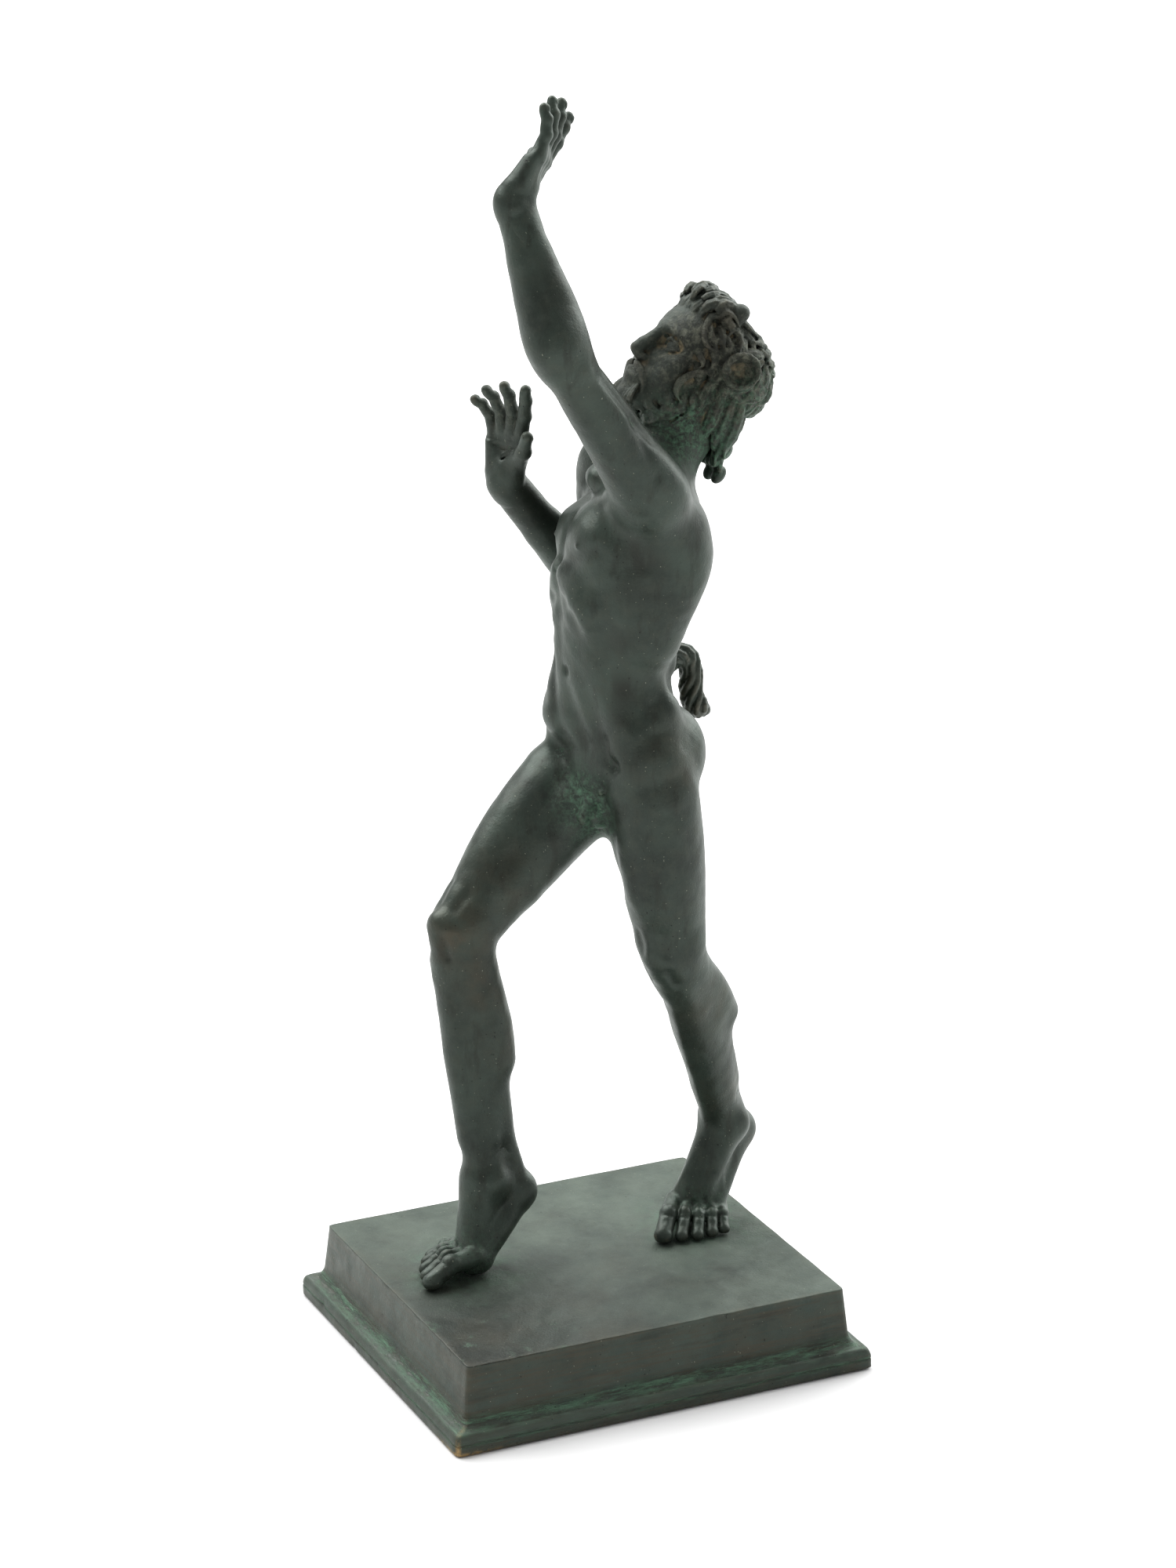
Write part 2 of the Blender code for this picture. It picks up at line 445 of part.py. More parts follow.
def long_locks():
    """The long locks, each as its points, its widths along them, and the ways sideways and outward."""
    made = []
    for s in (1, -1):
        # The quiff over the forehead, parted in the middle, and the locks behind it
        for a, lean in ((0.7, 0.0), (2.2, -0.3), (3.7, -0.9), (5.1, -1.8)):
            low, high = 0.09 * a * a, 11.4 + lean
            points = [(a, 7.9 - low, 5.4), (a * 1.02, 8.4 - low, 7.6), (a * 1.12, 7.0 - low, 10.0 + lean)]
            points += [(a * 1.25, 5.0, high), (a * 1.35, 2.8, high), (a * 1.3, 1.0, high - 1.0)]
            outward = unit(head.front + head.up)
            made.append((s, points, (0.8, 1.25, 1.4, 1.35, 1.1, 0.5), head.left * s, outward))
        for a in (1.0, 3.0):
            points = [(a, 4.2, 10.4), (a * 1.2, 2.2, 10.6), (a * 1.5, 0.2, 9.9), (a * 1.6, -2.0, 9.6)]
            points.append((a * 1.4, -4.4, 9.4))
            made.append((s, points, (0.8, 1.4, 1.5, 1.2, 0.5), head.left * s, head.up))
        # Broad pointed locks below the ear
        for y, z, share in ((-2.6, -1.6, 1.0), (-4.8, -1.2, 1.1), (-7.0, -1.4, 1.15)):
            points = [(8.0, y, z), (8.1, y - 0.6 * share, z - 2.8 * share)]
            points += [(7.0, y - 2.0 * share, z - 5.2 * share), (6.4, y - 2.2 * share, z - 7.2 * share)]
            points.append((5.2, y - 3.6 * share, z - 8.8 * share))
            made.append((s, points, (1.0, 1.8, 1.9, 1.3, 0.4), head.front, head.left * s))
    # Nape locks that leave the head and end in points
    for row, (high, back, drop) in enumerate(((-2.6, -12.0, 8.6), (-5.4, -11.2, 7.6))):
        for i in range(7 - row):
            a = (i - (6 - row) / 2) * 2.1
            back_here, sway = back + 0.085 * a * a, 0.8 * math.sin(2.6 * i + 1.3 * row)
            points = [(a, back_here, high), (a + 0.4 * sway, back_here - 0.7, high - 0.3 * drop)]
            points.append((a, back_here - 0.4, high - 0.58 * drop))
            points.append((a - 0.6 * sway, back_here - 0.9, high - 0.82 * drop))
            points.append((a - sway, back_here - 2.2, high - drop))
            made.append((1, points, (1.1, 1.5, 1.5, 1.15, 0.35), head.left, -head.front))
    for a, tip in ((3.6, 1.2), (0.6, -0.8)):
        points = [(a, -10.6, -8.6), (a, -11.4, -10.8), (a - 0.4, -12.4, -12.6), (a - 0.8, -13.8, -13.7)]
        points.append((a - 0.6 + tip, -14.9, -13.3))
        made.append((1, points, (1.3, 1.6, 1.6, 1.3, 0.5), head.left, -head.front))
    return made


def hair(clay):
    """Rows of short locks over the skull, the long locks, and a short curly beard."""
    k = head.size
    clay.egg(head.at(0, 4.4, 8.0), np.multiply((5.8, 4.4, 3.6), k), head.axes, 1.5)
    for row in range(7):
        lean = math.radians(-52 + 30 * row)
        count = (7, 9, 10, 11, 11, 10, 8)[row]
        for i in range(count):
            share = (i + 0.5 * (row % 2)) / (count - 1) * 2 - 1
            if abs(share) > 1:
                continue
            around = math.radians(96 * share)
            back, up, across = -math.sin(lean), math.cos(lean), math.cos(around)
            place = vec(8.2 * math.sin(around), -3.0 + 9.8 * back * across, 1.4 + 7.4 * up * across)
            if place[1] > 4.0 and place[2] < 8:
                continue
            bump = 1.9 + 0.4 * math.sin(5.1 * i + 2.3 * row)
            clay.egg(head.at(*place), (bump * k * 1.1, bump * k, bump * k * 1.15), head.axes, 0.9)
    for s, points, widths, _, out in long_locks():
        line = [head.at(x * s, y, z) for x, y, z in points]
        for a, b, wide, narrow in zip(line[:-1], line[1:], widths[:-1], widths[1:]):
            clay.muscle(a, b, 0.95 * wide * k, 0.95 * narrow * k, 0.7, flat=(out, 0.6))
    for i in range(9):
        share = i / 4 - 1
        x, y = 6.6 * math.sin(1.45 * share), -1.5 + 10.0 * math.cos(1.45 * share)
        z = -11.6 + 6.5 * abs(share) ** 1.5
        clay.egg(head.at(x, y, z), (1.7 * k, 1.7 * k, 2.1 * k), head.axes, 0.8)
        clay.egg(head.at(x * 0.8, y * 0.8, z - 2.0), (1.6 * k, 1.7 * k, 1.7 * k), head.axes, 0.8)


def ear(clay, s):
    """A round cupped ear, drawn out to a small point above."""
    k = head.size
    out = unit(head.left * s + head.front * 0.22 - head.up * 0.1)
    high = unit(head.up * 0.80 - head.front * 0.60)
    high = unit(high - out * (high @ out))
    heart = head.at(8.7 * s, -2.5, 2.6) + out * 1.3
    clay.muscle(head.at(7.2 * s, -2.2, 2.2), heart, 2.7 * k, 2.7 * k, 0.6)
    clay.egg(heart + out * 0.5, np.multiply((3.4, 3.3, 1.3), k), (high, np.cross(out, high), out), 0.5)
    point = heart + high * 4.0 * k - out * 0.4
    clay.muscle(heart + high * 2.0 * k, point, 1.3 * k, 0.6 * k, 0.6, flat=(out, 0.7))
    cup = heart + out * 1.9 * k
    clay.muscle(cup + high * 0.3, cup - high * 0.3, 2.3 * k, 2.3 * k, 0.4, flat=(out, 0.6), carve=True)


def horn(clay, s):
    """A short blunt horn growing from the front hair."""
    k = head.size
    clay.muscle(head.at(4.2 * s, 2.6, 8.6), head.at(6.0 * s, 1.6, 11.0), 2.2 * k, 1.6 * k, 0.8)


def loins(clay):
    """A small patch of curls and the parts below it."""
    for i in range(7):
        a = 2.4 * i
        place = pelvis.at(2.8 * math.sin(a), 9.6, -8.4 + 1.4 * math.cos(a))
        clay.egg(place, (1.4, 1.3, 1.4), pelvis.axes, 0.8)
    for s in (1, -1):
        clay.egg(pelvis.at(1.3 * s, 9.8, -13.2), (1.7, 1.9, 2.5), pelvis.axes, 0.8)
    clay.muscle(pelvis.at(0, 10.6, -10.2), pelvis.at(-0.4, 12.4, -13.0), 1.3, 1.1, 0.6)


def tail(clay):
    """A short thick tail that leaves the small of the back, rises and curls down to a tuft."""
    route = (
        vec(-8.6, 15.5, 115.0), vec(-9.4, 20.5, 118.0), vec(-10.0, 24.3, 120.8), vec(-10.4, 27.8, 120.6),
        vec(-10.2, 28.9, 117.0), vec(-9.4, 28.2, 113.2), vec(-9.2, 29.4, 109.8), vec(-10.0, 32.0, 108.6),
    )
    radii = (3.4, 2.9, 2.7, 2.6, 2.5, 2.6, 2.7, 1.5)
    for a, b, ra, rb in zip(route[:-1], route[1:], radii[:-1], radii[1:]):
        clay.muscle(a, b, ra, rb, 1.2)


def figure_clay(step):
    clay = Clay((-52, -48, -1), (30, 56, 240), step)
    for s in (1, -1):
        leg(clay, s)
    trunk(clay)
    neck_and_head(clay)
    for s in (1, -1):
        arm(clay, s)
        hand(clay, s)
        foot(clay, s)
    loins(clay)
    tail(clay)
    heights = clay.low[2] + clay.step * np.arange(clay.size[2])
    clay.value = np.maximum(clay.value, -heights.astype(np.float32))
    return clay


def material(name, colour, roughness):
    made = bpy.data.materials.new(name)
    made.use_nodes = True
    shader = made.node_tree.nodes["Principled BSDF"]
    shader.inputs["Base Color"].default_value = colour
    shader.inputs["Metallic"].default_value = 0.7
    shader.inputs["Roughness"].default_value = roughness
    return made


def add_object(name, mesh, finish):
    made = bpy.data.objects.new(name, mesh)
    bpy.context.scene.collection.objects.link(made)
    mesh.materials.append(finish)
    return made


def figure():
    """The cast figure, its soles a small gap above the plinth."""
    mesh = figure_clay(GRID_STEP).mesh("faun_figure")
    made = add_object("faun_figure", mesh, material("bronze_patina", BRONZE, 0.45))
    made.scale = (UNIT, UNIT, UNIT)
    made.location = (0, 0, PLINTH_HEIGHT + SEAT_GAP)
    thin = made.modifiers.new("Surface", "DECIMATE")
    thin.ratio = SURFACE_TRIANGLES / (2 * len(mesh.polygons))
    return made


def plinth_outline():
    """Half of the plinth's section as (inset, height) from the bottom up: band, roll, cove and slab."""
    outline = [(0.0, 0.0), (0.0, BAND_HEIGHT)]
    roll_top = BAND_HEIGHT + ROLL_HEIGHT
    turns = [math.radians(90 * i / 6) for i in range(1, 7)]
    for a in turns:
        outline.append((ROLL_DEPTH * (1 - math.cos(a)), BAND_HEIGHT + ROLL_HEIGHT * math.sin(a)))
    for a in turns:
        inset = ROLL_DEPTH + (PLINTH_STEP - ROLL_DEPTH) * math.sin(a)
        outline.append((inset, roll_top + COVE_HEIGHT * (1 - math.cos(a))))
    top_inset = PLINTH_STEP + SLAB_TAPER
    outline.append((top_inset, PLINTH_HEIGHT - EDGE_BEVEL))
    outline.append((top_inset + EDGE_BEVEL, PLINTH_HEIGHT))
    return outline


def plinth():
    """The moulded plinth, one closed solid."""
    points, faces = [], []
    for inset, height in plinth_outline():
        x, y = PLINTH_WIDTH / 2 - inset, PLINTH_LENGTH / 2 - inset
        points += [(-x, -y, height), (x, -y, height), (x, y, height), (-x, y, height)]
    last = len(points) - 4
    for first in range(0, last, 4):
        for i in range(4):
            j = (i + 1) % 4
            faces.append((first + i, first + j, first + 4 + j, first + 4 + i))
    faces.append((3, 2, 1, 0))
    faces.append((last, last + 1, last + 2, last + 3))
    mesh = bpy.data.meshes.new("plinth")
    mesh.from_pydata(points, [], faces)
    return add_object("plinth", mesh, material("bronze_plinth", BRONZE_DARK, 0.5))


for old in list(bpy.data.objects):
    bpy.data.objects.remove(old)
plinth()
figure()
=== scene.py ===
"""A small patinated bronze of a dancing faun on its plinth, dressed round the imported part.

Metres, +Z up. The figure is modelled like clay in figure units, a 236th of its height, measured from the
middle of the plinth's top. Body, head, hands, feet and tail are read from grids of their own fineness.
"""

import math

import bpy
import numpy as np
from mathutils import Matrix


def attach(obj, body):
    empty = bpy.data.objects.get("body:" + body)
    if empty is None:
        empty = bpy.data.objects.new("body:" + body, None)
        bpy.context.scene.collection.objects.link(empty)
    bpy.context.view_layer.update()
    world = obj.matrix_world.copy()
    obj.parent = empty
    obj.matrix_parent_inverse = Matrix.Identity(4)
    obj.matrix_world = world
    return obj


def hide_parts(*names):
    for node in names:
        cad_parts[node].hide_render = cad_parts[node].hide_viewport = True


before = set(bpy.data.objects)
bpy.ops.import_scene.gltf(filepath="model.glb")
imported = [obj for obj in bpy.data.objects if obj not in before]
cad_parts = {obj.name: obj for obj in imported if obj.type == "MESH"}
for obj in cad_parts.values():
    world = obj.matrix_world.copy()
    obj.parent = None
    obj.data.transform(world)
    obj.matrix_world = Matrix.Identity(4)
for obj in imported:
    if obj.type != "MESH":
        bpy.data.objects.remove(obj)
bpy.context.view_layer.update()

import openvdb
from mathutils import Vector

# The plinth, in metres
PLINTH_LENGTH = 0.0907
PLINTH_WIDTH = 0.0808
PLINTH_HEIGHT = 0.0165
BAND_HEIGHT = 0.0022
ROLL_HEIGHT = 0.0022
ROLL_DEPTH = 0.0011
COVE_HEIGHT = 0.0034
PLINTH_STEP = 0.0036
SLAB_TAPER = 0.0008
EDGE_BEVEL = 0.0003
FOOT_BEVEL = 0.0004
CORNER_CUT = 0.00022
ROW_GAP = 0.0011
ARC_ROWS = 12
EDGE_POINTS = (74, 84)
SEAT_GAP = 0.0004

# The figure's own scale, and the fineness of each piece's grid in figure units
UNIT = 0.001
FAR = 6.0
BODY_STEP = 0.45
HEAD_STEP = 0.2
HAND_STEP = 0.25
FOOT_STEP = 0.25
TAIL_STEP = 0.25
UNEVENNESS = 0.03
SEAM_OVERLAP = 2.0
SKIN_STEP = 0.1
SECTION_POWER = 2.3
# How far round a point its relief is looked at: fine and broad
NEAR_RELIEF = 0.9
FAR_RELIEF = 2.6
MOST_TRIANGLES = 190000

# The camera of the photograph and the studio: degrees, metres, and millimetres for lens and sensor
CAMERA_AZIMUTH = 64.85
CAMERA_ELEVATION = 18.91
CAMERA_DISTANCE = 0.84102
CAMERA_AIM_HEIGHT = 0.1176
CAMERA_ASIDE = 0.00127
LENS = 99.0
SENSOR = 36.0
FLOOR_REACH = 28.0
SURROUND_STRENGTH = 0.5


def vec(*xyz):
    return np.array(xyz, np.float64)


def unit(v):
    return v / np.linalg.norm(v)


def mix(a, b, t):
    return a + (b - a) * t


def turned(v, axis, degrees):
    """v turned about a unit axis by the right-hand rule."""
    c, s = math.cos(math.radians(degrees)), math.sin(math.radians(degrees))
    return v * c + np.cross(axis, v) * s + axis * (axis @ v) * (1 - c)


def along(x, y, z, a, b):
    """For each grid point, how far along the line from a to b it lies, and its offset from the line."""
    d = (b - a).astype(np.float32)
    x, y, z = x - np.float32(a[0]), y - np.float32(a[1]), z - np.float32(a[2])
    t = np.clip((x * d[0] + y * d[1] + z * d[2]) / np.float32(max(d @ d, 1e-9)), 0, 1)
    return t, (x - t * d[0], y - t * d[1], z - t * d[2])


def smooth_line(points, count):
    """A line of count points through the given ones, with its corners rounded."""
    points = np.array(points, float)
    spot = np.linspace(0, len(points) - 1, count)
    line = np.array([np.interp(spot, range(len(points)), points[:, i]) for i in range(3)]).T
    for _ in range(2):
        line[1:-1] = (line[:-2] + 2 * line[1:-1] + line[2:]) / 4
    return line, spot


class Clay:
    """A block of space on a grid. Forms are blended into it, and its surface is where the value is zero."""

    def __init__(self, low, high, step):
        self.low = np.array(low, np.float64)
        self.step = step
        self.size = np.ceil((np.array(high) - self.low) / step).astype(int) + 1
        self.value = np.full(self.size, FAR, np.float32)

    def block(self, low, high):
        """The part of the grid between two corners, and the three coordinates there."""
        first = np.maximum(np.floor((low - self.low) / self.step).astype(int), 0)
        last = np.minimum(np.ceil((high - self.low) / self.step).astype(int) + 1, self.size)
        where = tuple(slice(a, max(a, b)) for a, b in zip(first, last))
        lines = [
            (self.low[i] + self.step * np.arange(where[i].start, where[i].stop)).astype(np.float32)
            for i in range(3)
        ]
        return where, np.meshgrid(*lines, indexing="ij", sparse=True)

    def near(self, points, reach):
        points = np.array(points)
        return self.block(points.min(axis=0) - reach, points.max(axis=0) + reach)

    def join(self, where, distance, blend):
        old = self.value[where]
        step = np.maximum(blend - np.abs(old - distance), 0.0)
        self.value[where] = np.minimum(old, distance) - step * step * (0.25 / blend)

    def muscle(self, a, b, ra, rb, blend=2.0, bulge=0.0, flat=None, carve=False):
        """A tapering round form from a to b. bulge swells its middle, flat = (direction, share) thins it."""
        reach = max(ra, rb) + abs(bulge) + blend + self.step
        where, (x, y, z) = self.near([a, b], reach)
        if 0 in self.value[where].shape:
            return
        t, (x, y, z) = along(x, y, z, a, b)
        square = x * x + y * y + z * z
        if flat:
            n = unit(flat[0]).astype(np.float32)
            across = x * n[0] + y * n[1] + z * n[2]
            square = square + across * across * np.float32(1 / flat[1] ** 2 - 1)
        distance = np.sqrt(square) - (ra + (rb - ra) * t + 4 * bulge * t * (1 - t))
        if carve:
            old = self.value[where]
            step = np.maximum(blend - np.abs(old + distance), 0.0)
            self.value[where] = np.maximum(old, -distance) + step * step * (0.25 / blend)
        else:
            self.join(where, distance, blend)

    def egg(self, centre, radii, axes, blend=2.0):
        """An ellipsoid with these radii along three axes."""
        where, (x, y, z) = self.near([centre], max(radii) + blend + self.step)
        if 0 in self.value[where].shape:
            return
        x, y, z = x - np.float32(centre[0]), y - np.float32(centre[1]), z - np.float32(centre[2])
        once, twice = 0.0, 0.0
        for axis, radius in zip(axes, radii):
            way = (np.array(axis) / radius).astype(np.float32)
            share = x * way[0] + y * way[1] + z * way[2]
            once = once + share * share
            twice = twice + share * share / np.float32(radius**2)
        once = np.sqrt(once)
        self.join(where, once * (once - 1) / np.sqrt(twice + 1e-9), blend)

    def column(self, rows, blend=2.0):
        """An upright body lofted through level sections.

        Each row is height, centre x and y, facing in degrees, half width, depth to the front and to the back.
        """
        rows = np.array(rows, np.float64)
        lines = [self.low[i] + self.step * np.arange(self.size[i]) for i in range(3)]
        inside = (lines[2] >= rows[0, 0]) & (lines[2] <= rows[-1, 0])
        heights = lines[2][inside]
        tangents = np.gradient(rows, rows[:, 0], axis=0)
        spot = np.clip(np.searchsorted(rows[:, 0], heights, side="right") - 1, 0, len(rows) - 2)
        gap = (rows[spot + 1, 0] - rows[spot, 0])[:, None]
        t = (heights[:, None] - rows[spot, 0][:, None]) / gap
        curve = (
            rows[spot] * (1 + 2 * t) * (1 - t) ** 2
            + tangents[spot] * gap * t * (1 - t) ** 2
            + rows[spot + 1] * t**2 * (3 - 2 * t)
            + tangents[spot + 1] * gap * t**2 * (t - 1)
        ).astype(np.float32)
        x, y = np.meshgrid(lines[0].astype(np.float32), lines[1].astype(np.float32), indexing="ij")
        for level, (_, cx, cy, turn, wide, front, back) in zip(np.nonzero(inside)[0], curve):
            c, s = math.cos(math.radians(turn)), math.sin(math.radians(turn))
            left = (x - cx) * c + (y - cy) * s
            ahead = (x - cx) * s - (y - cy) * c
            deep = np.where(ahead > 0, front, back)
            powers = (np.abs(left) / wide) ** SECTION_POWER + (np.abs(ahead) / deep) ** SECTION_POWER
            rho = powers ** (1 / SECTION_POWER)
            distance = (rho - 1) * np.sqrt(left * left + ahead * ahead) / np.maximum(rho, 0.05)
            self.join((slice(None), slice(None), level), distance.astype(np.float32), blend)

    def press(self, points, width, depth):
        """Pushes the surface in along a line of points, or out where depth is negative."""
        for a, b in zip(points[:-1], points[1:]):
            where, (x, y, z) = self.near([a, b], 2.2 * width)
            if 0 in self.value[where].shape:
                continue
            _, (x, y, z) = along(x, y, z, a, b)
            near = np.exp(-(x * x + y * y + z * z) / width**2)
            self.value[where] += (depth * near).astype(np.float32)

    def skin(self, start, way):
        """Where the surface is met, going from a point inside along a direction."""
        way = unit(way)
        steps = np.arange(0.0, 30.0, SKIN_STEP)
        values = self.read(start + steps[:, None] * way)
        outside = np.nonzero(values > 0)[0]
        return start + way * steps[outside[0]] if len(outside) else start

    def read(self, points):
        """The value between grid points, by linear interpolation."""
        place = (points - self.low) / self.step
        place = np.clip(place, 0, np.array(self.value.shape) - 1.001)
        low = place.astype(int)
        part = (place - low).astype(np.float32)
        total = np.zeros(len(points), np.float32)
        for corner in range(8):
            pick = [(corner >> axis) & 1 for axis in range(3)]
            weight = np.ones(len(points), np.float32)
            for axis in range(3):
                weight = weight * (part[:, axis] if pick[axis] else 1 - part[:, axis])
            total += weight * self.value[low[:, 0] + pick[0], low[:, 1] + pick[1], low[:, 2] + pick[2]]
        return total

    def finish_at(self, point, way, low=None, high=None):
        """Ends the form at a plane: past it the form draws in and stops, so the next piece covers it."""
        low = self.low if low is None else np.array(low, float)
        high = self.low + self.step * self.size if high is None else np.array(high, float)
        where, (x, y, z) = self.block(low, high)
        if 0 in self.value[where].shape:
            return
        past = (x - point[0]) * way[0] + (y - point[1]) * way[1] + (z - point[2]) * way[2]
        drawn = self.value[where] + np.maximum(past, 0).astype(np.float32) * 0.1
        self.value[where] = np.maximum(drawn, (past - SEAM_OVERLAP).astype(np.float32))

    def waver(self, amount):
        """The slight unevenness of a hand-finished casting, the same wherever pieces meet."""
        x, y, z = self.block(self.low, self.low + self.step * self.size)[1]
        rng = np.random.default_rng(5)
        for length in (17.0, 11.0, 7.0, 4.5):
            for _ in range(3):
                turns = 2 * math.pi / (length * rng.uniform(0.8, 1.25, 3))
                shift = rng.uniform(0, 2 * math.pi, 3)
                wave = np.sin(x * turns[0] + shift[0]) * np.sin(y * turns[1] + shift[1])
                wave = wave * np.sin(z * turns[2] + shift[2])
                self.value += (wave * amount * (length / 17.0) ** 0.7).astype(np.float32)


class Segment:
    """One stretch of a limb. at(t, front, side) is t of the way along it, so far forwards and outwards."""

    def __init__(self, start, end, front, out):
        self.start, self.end = start, end
        self.axis = unit(end - start)
        self.front = unit(front - self.axis * (front @ self.axis))
        self.side = np.cross(self.front, self.axis) * out
        self.axes = (self.side, self.front, self.axis)

    def at(self, t, front=0.0, side=0.0):
        return mix(self.start, self.end, t) + self.front * front + self.side * side

    def build(self, clay, rows):
        """Forms along the stretch: each row is two places, then both radii, the blend and the bulge."""
        for row in rows:
            clay.muscle(self.at(*row[:3]), self.at(*row[3:6]), *row[6:])

    def press(self, clay, a, b, width, depth):
        clay.press([self.at(*a), self.at(*b)], width, depth)


class Block:
    """A rigid mass of the trunk, such as the chest. at(left, front, up) is a point in its own directions."""

    def __init__(self, centre, up, facing, size=1.0):
        self.centre = centre
        self.size = size
        self.up = unit(up)
        self.front = unit(facing - self.up * (facing @ self.up))
        self.left = np.cross(self.up, self.front)
        self.axes = (self.left, self.front, self.up)

    def at(self, left=0.0, front=0.0, up=0.0):
        return self.centre + (self.left * left + self.front * front + self.up * up) * self.size


class Half:
    """One side of a block, 1 the left or -1 the right, with left counted outwards and sizes in its units."""

    def __init__(self, clay, block, s=1):
        self.clay, self.block, self.s = clay, block, s

    def at(self, left, front, up):
        return self.block.at(left * self.s, front, up)

    def egg(self, centre, radii, blend):
        self.clay.egg(self.at(*centre), np.multiply(radii, self.block.size), self.block.axes, blend)

    def muscle(self, a, b, ra, rb, blend, carve=False):
        size = self.block.size
        self.clay.muscle(self.at(*a), self.at(*b), ra * size, rb * size, blend, carve=carve)

    def press(self, points, width, depth):
        size = self.block.size
        self.clay.press([self.at(*point) for point in points], width * size, depth * size)

    def skin(self, places, way):
        """Where the surface is met from each place, along a direction of (outwards, front, up)."""
        block = self.block
        world = block.left * way[0] * self.s + block.front * way[1] + block.up * way[2]
        return [self.clay.skin(self.at(*place), world) for place in places]


def facing(degrees, lift=0.0):
    """The level direction that many degrees from -Y towards the figure's left."""
    a = math.radians(degrees)
    return vec(math.sin(a), -math.cos(a), lift)


# The pose: joints in figure units from the middle of the plinth's top. 1 is the left side, -1 the right
PELVIS = vec(-6.0, 11.5, 107.0)
CHEST = vec(-6.0, 12.3, 147.0)
NECK = vec(-5.5, 19.0, 161.5)
SKULL = vec(-4.5, 26.8, 180.8)
HIP = {1: vec(3.6, 12.2, 104.5), -1: vec(-14.3, 8.0, 101.5)}
KNEE = {1: vec(4.5, 18.0, 65.0), -1: vec(-11.0, -20.8, 70.0)}
ANKLE = {1: vec(-8.0, 36.0, 20.0), -1: vec(-7.0, -18.0, 17.0)}
HEEL = {1: vec(-12.4, 40.6, 15.5), -1: vec(-8.0, -11.0, 13.0)}
BALL = {1: vec(-5.5, 28.6, 3.4), -1: vec(-5.0, -22.6, 3.4)}
SHOULDER = {1: vec(11.0, 9.4, 161.0), -1: vec(-23.0, 17.5, 157.5)}
ELBOW = {1: vec(14.5, -12.0, 191.5), -1: vec(-33.5, 20.0, 127.0)}
WRIST = {1: vec(4.0, -15.5, 217.5), -1: vec(-28.5, -3.0, 155.0)}
KNEE_WAY = {1: facing(32), -1: facing(10)}
TOE_WAY = {1: facing(58), -1: facing(4)}
HAND_WAY = {1: unit(vec(-0.15, 0.68, 0.82)), -1: unit(vec(0.06, 0.02, 0.96))}
PALM_WAY = {1: unit(vec(-0.6, -0.9, 0.2)), -1: unit(vec(0.35, -0.95, 0.0))}

# How far back each shoulder blade sits, how deep and tall it is, and how full each shin and calf is
BLADE = {1: (-9.2, 3.8, 8.0), -1: (-9.4, 4.9, 9.2)}
SHIN_FRONT = {1: 1.4, -1: 2.9}
CALF_BACK = {1: 2.2, -1: -0.4}

# Each finger from the first to the last: its place across the palm, its length and its lean in degrees
FINGERS = ((3.6, 11.0, 13), (1.25, 12.2, 4), (-1.2, 11.4, -5), (-3.5, 9.2, -15))
# How far each finger is bent, in degrees at its middle joint
CURLS = {1: (6, 14, 20, 24), -1: (10, 20, 26, 30)}

pelvis = Block(PELVIS, vec(0.0, -0.10, 1.0), facing(22))
chest = Block(CHEST, vec(-0.10, 0.22, 1.0), facing(-14))
head = Block(SKULL, vec(0.0, 0.60, 0.80), facing(0, 0.78), 1.12)

# The trunk's level sections: height, centre x and y, facing, half width, depth to the front and to the back
TRUNK = (
    (90.0, -6.0, 11.5, 22, 5.0, 3.0, 3.0),
    (97.0, -6.0, 11.5, 22, 13.0, 7.5, 8.0),
    (103.5, -6.0, 11.2, 22, 15.2, 9.0, 9.6),
    (110.0, -6.0, 10.4, 20, 14.8, 9.4, 8.8),
    (116.0, -6.0, 9.0, 15, 13.4, 9.2, 7.6),
    (122.0, -6.0, 9.0, 8, 12.8, 10.0, 7.8),
    (129.0, -6.0, 10.0, 1, 13.4, 11.4, 9.4),
    (137.0, -6.0, 11.0, -7, 14.8, 12.2, 11.2),
    (145.0, -6.0, 12.2, -13, 15.6, 12.4, 12.0),
    (151.0, -6.0, 13.6, -14, 15.4, 11.6, 11.0),
    (156.0, -5.8, 15.6, -14, 14.0, 9.4, 9.0),
    (160.5, -5.6, 17.4, -12, 11.0, 6.6, 7.0),
    (165.0, -5.5, 18.8, -8, 5.0, 4.0, 4.0),
)


def leg_parts(s):
    """Thigh and shin."""
    thigh = Segment(HIP[s], KNEE[s], KNEE_WAY[s], s)
    return thigh, Segment(KNEE[s], ANKLE[s], KNEE_WAY[s], s)


def arm_parts(s):
    """Upper arm and forearm. The front of each is the inside of the elbow."""
    span, reach = ELBOW[s] - SHOULDER[s], WRIST[s] - ELBOW[s]
    hinge = np.cross(span, reach)
    upper = Segment(SHOULDER[s], ELBOW[s], np.cross(hinge, span), s)
    return upper, Segment(ELBOW[s], WRIST[s], np.cross(hinge, reach), s)


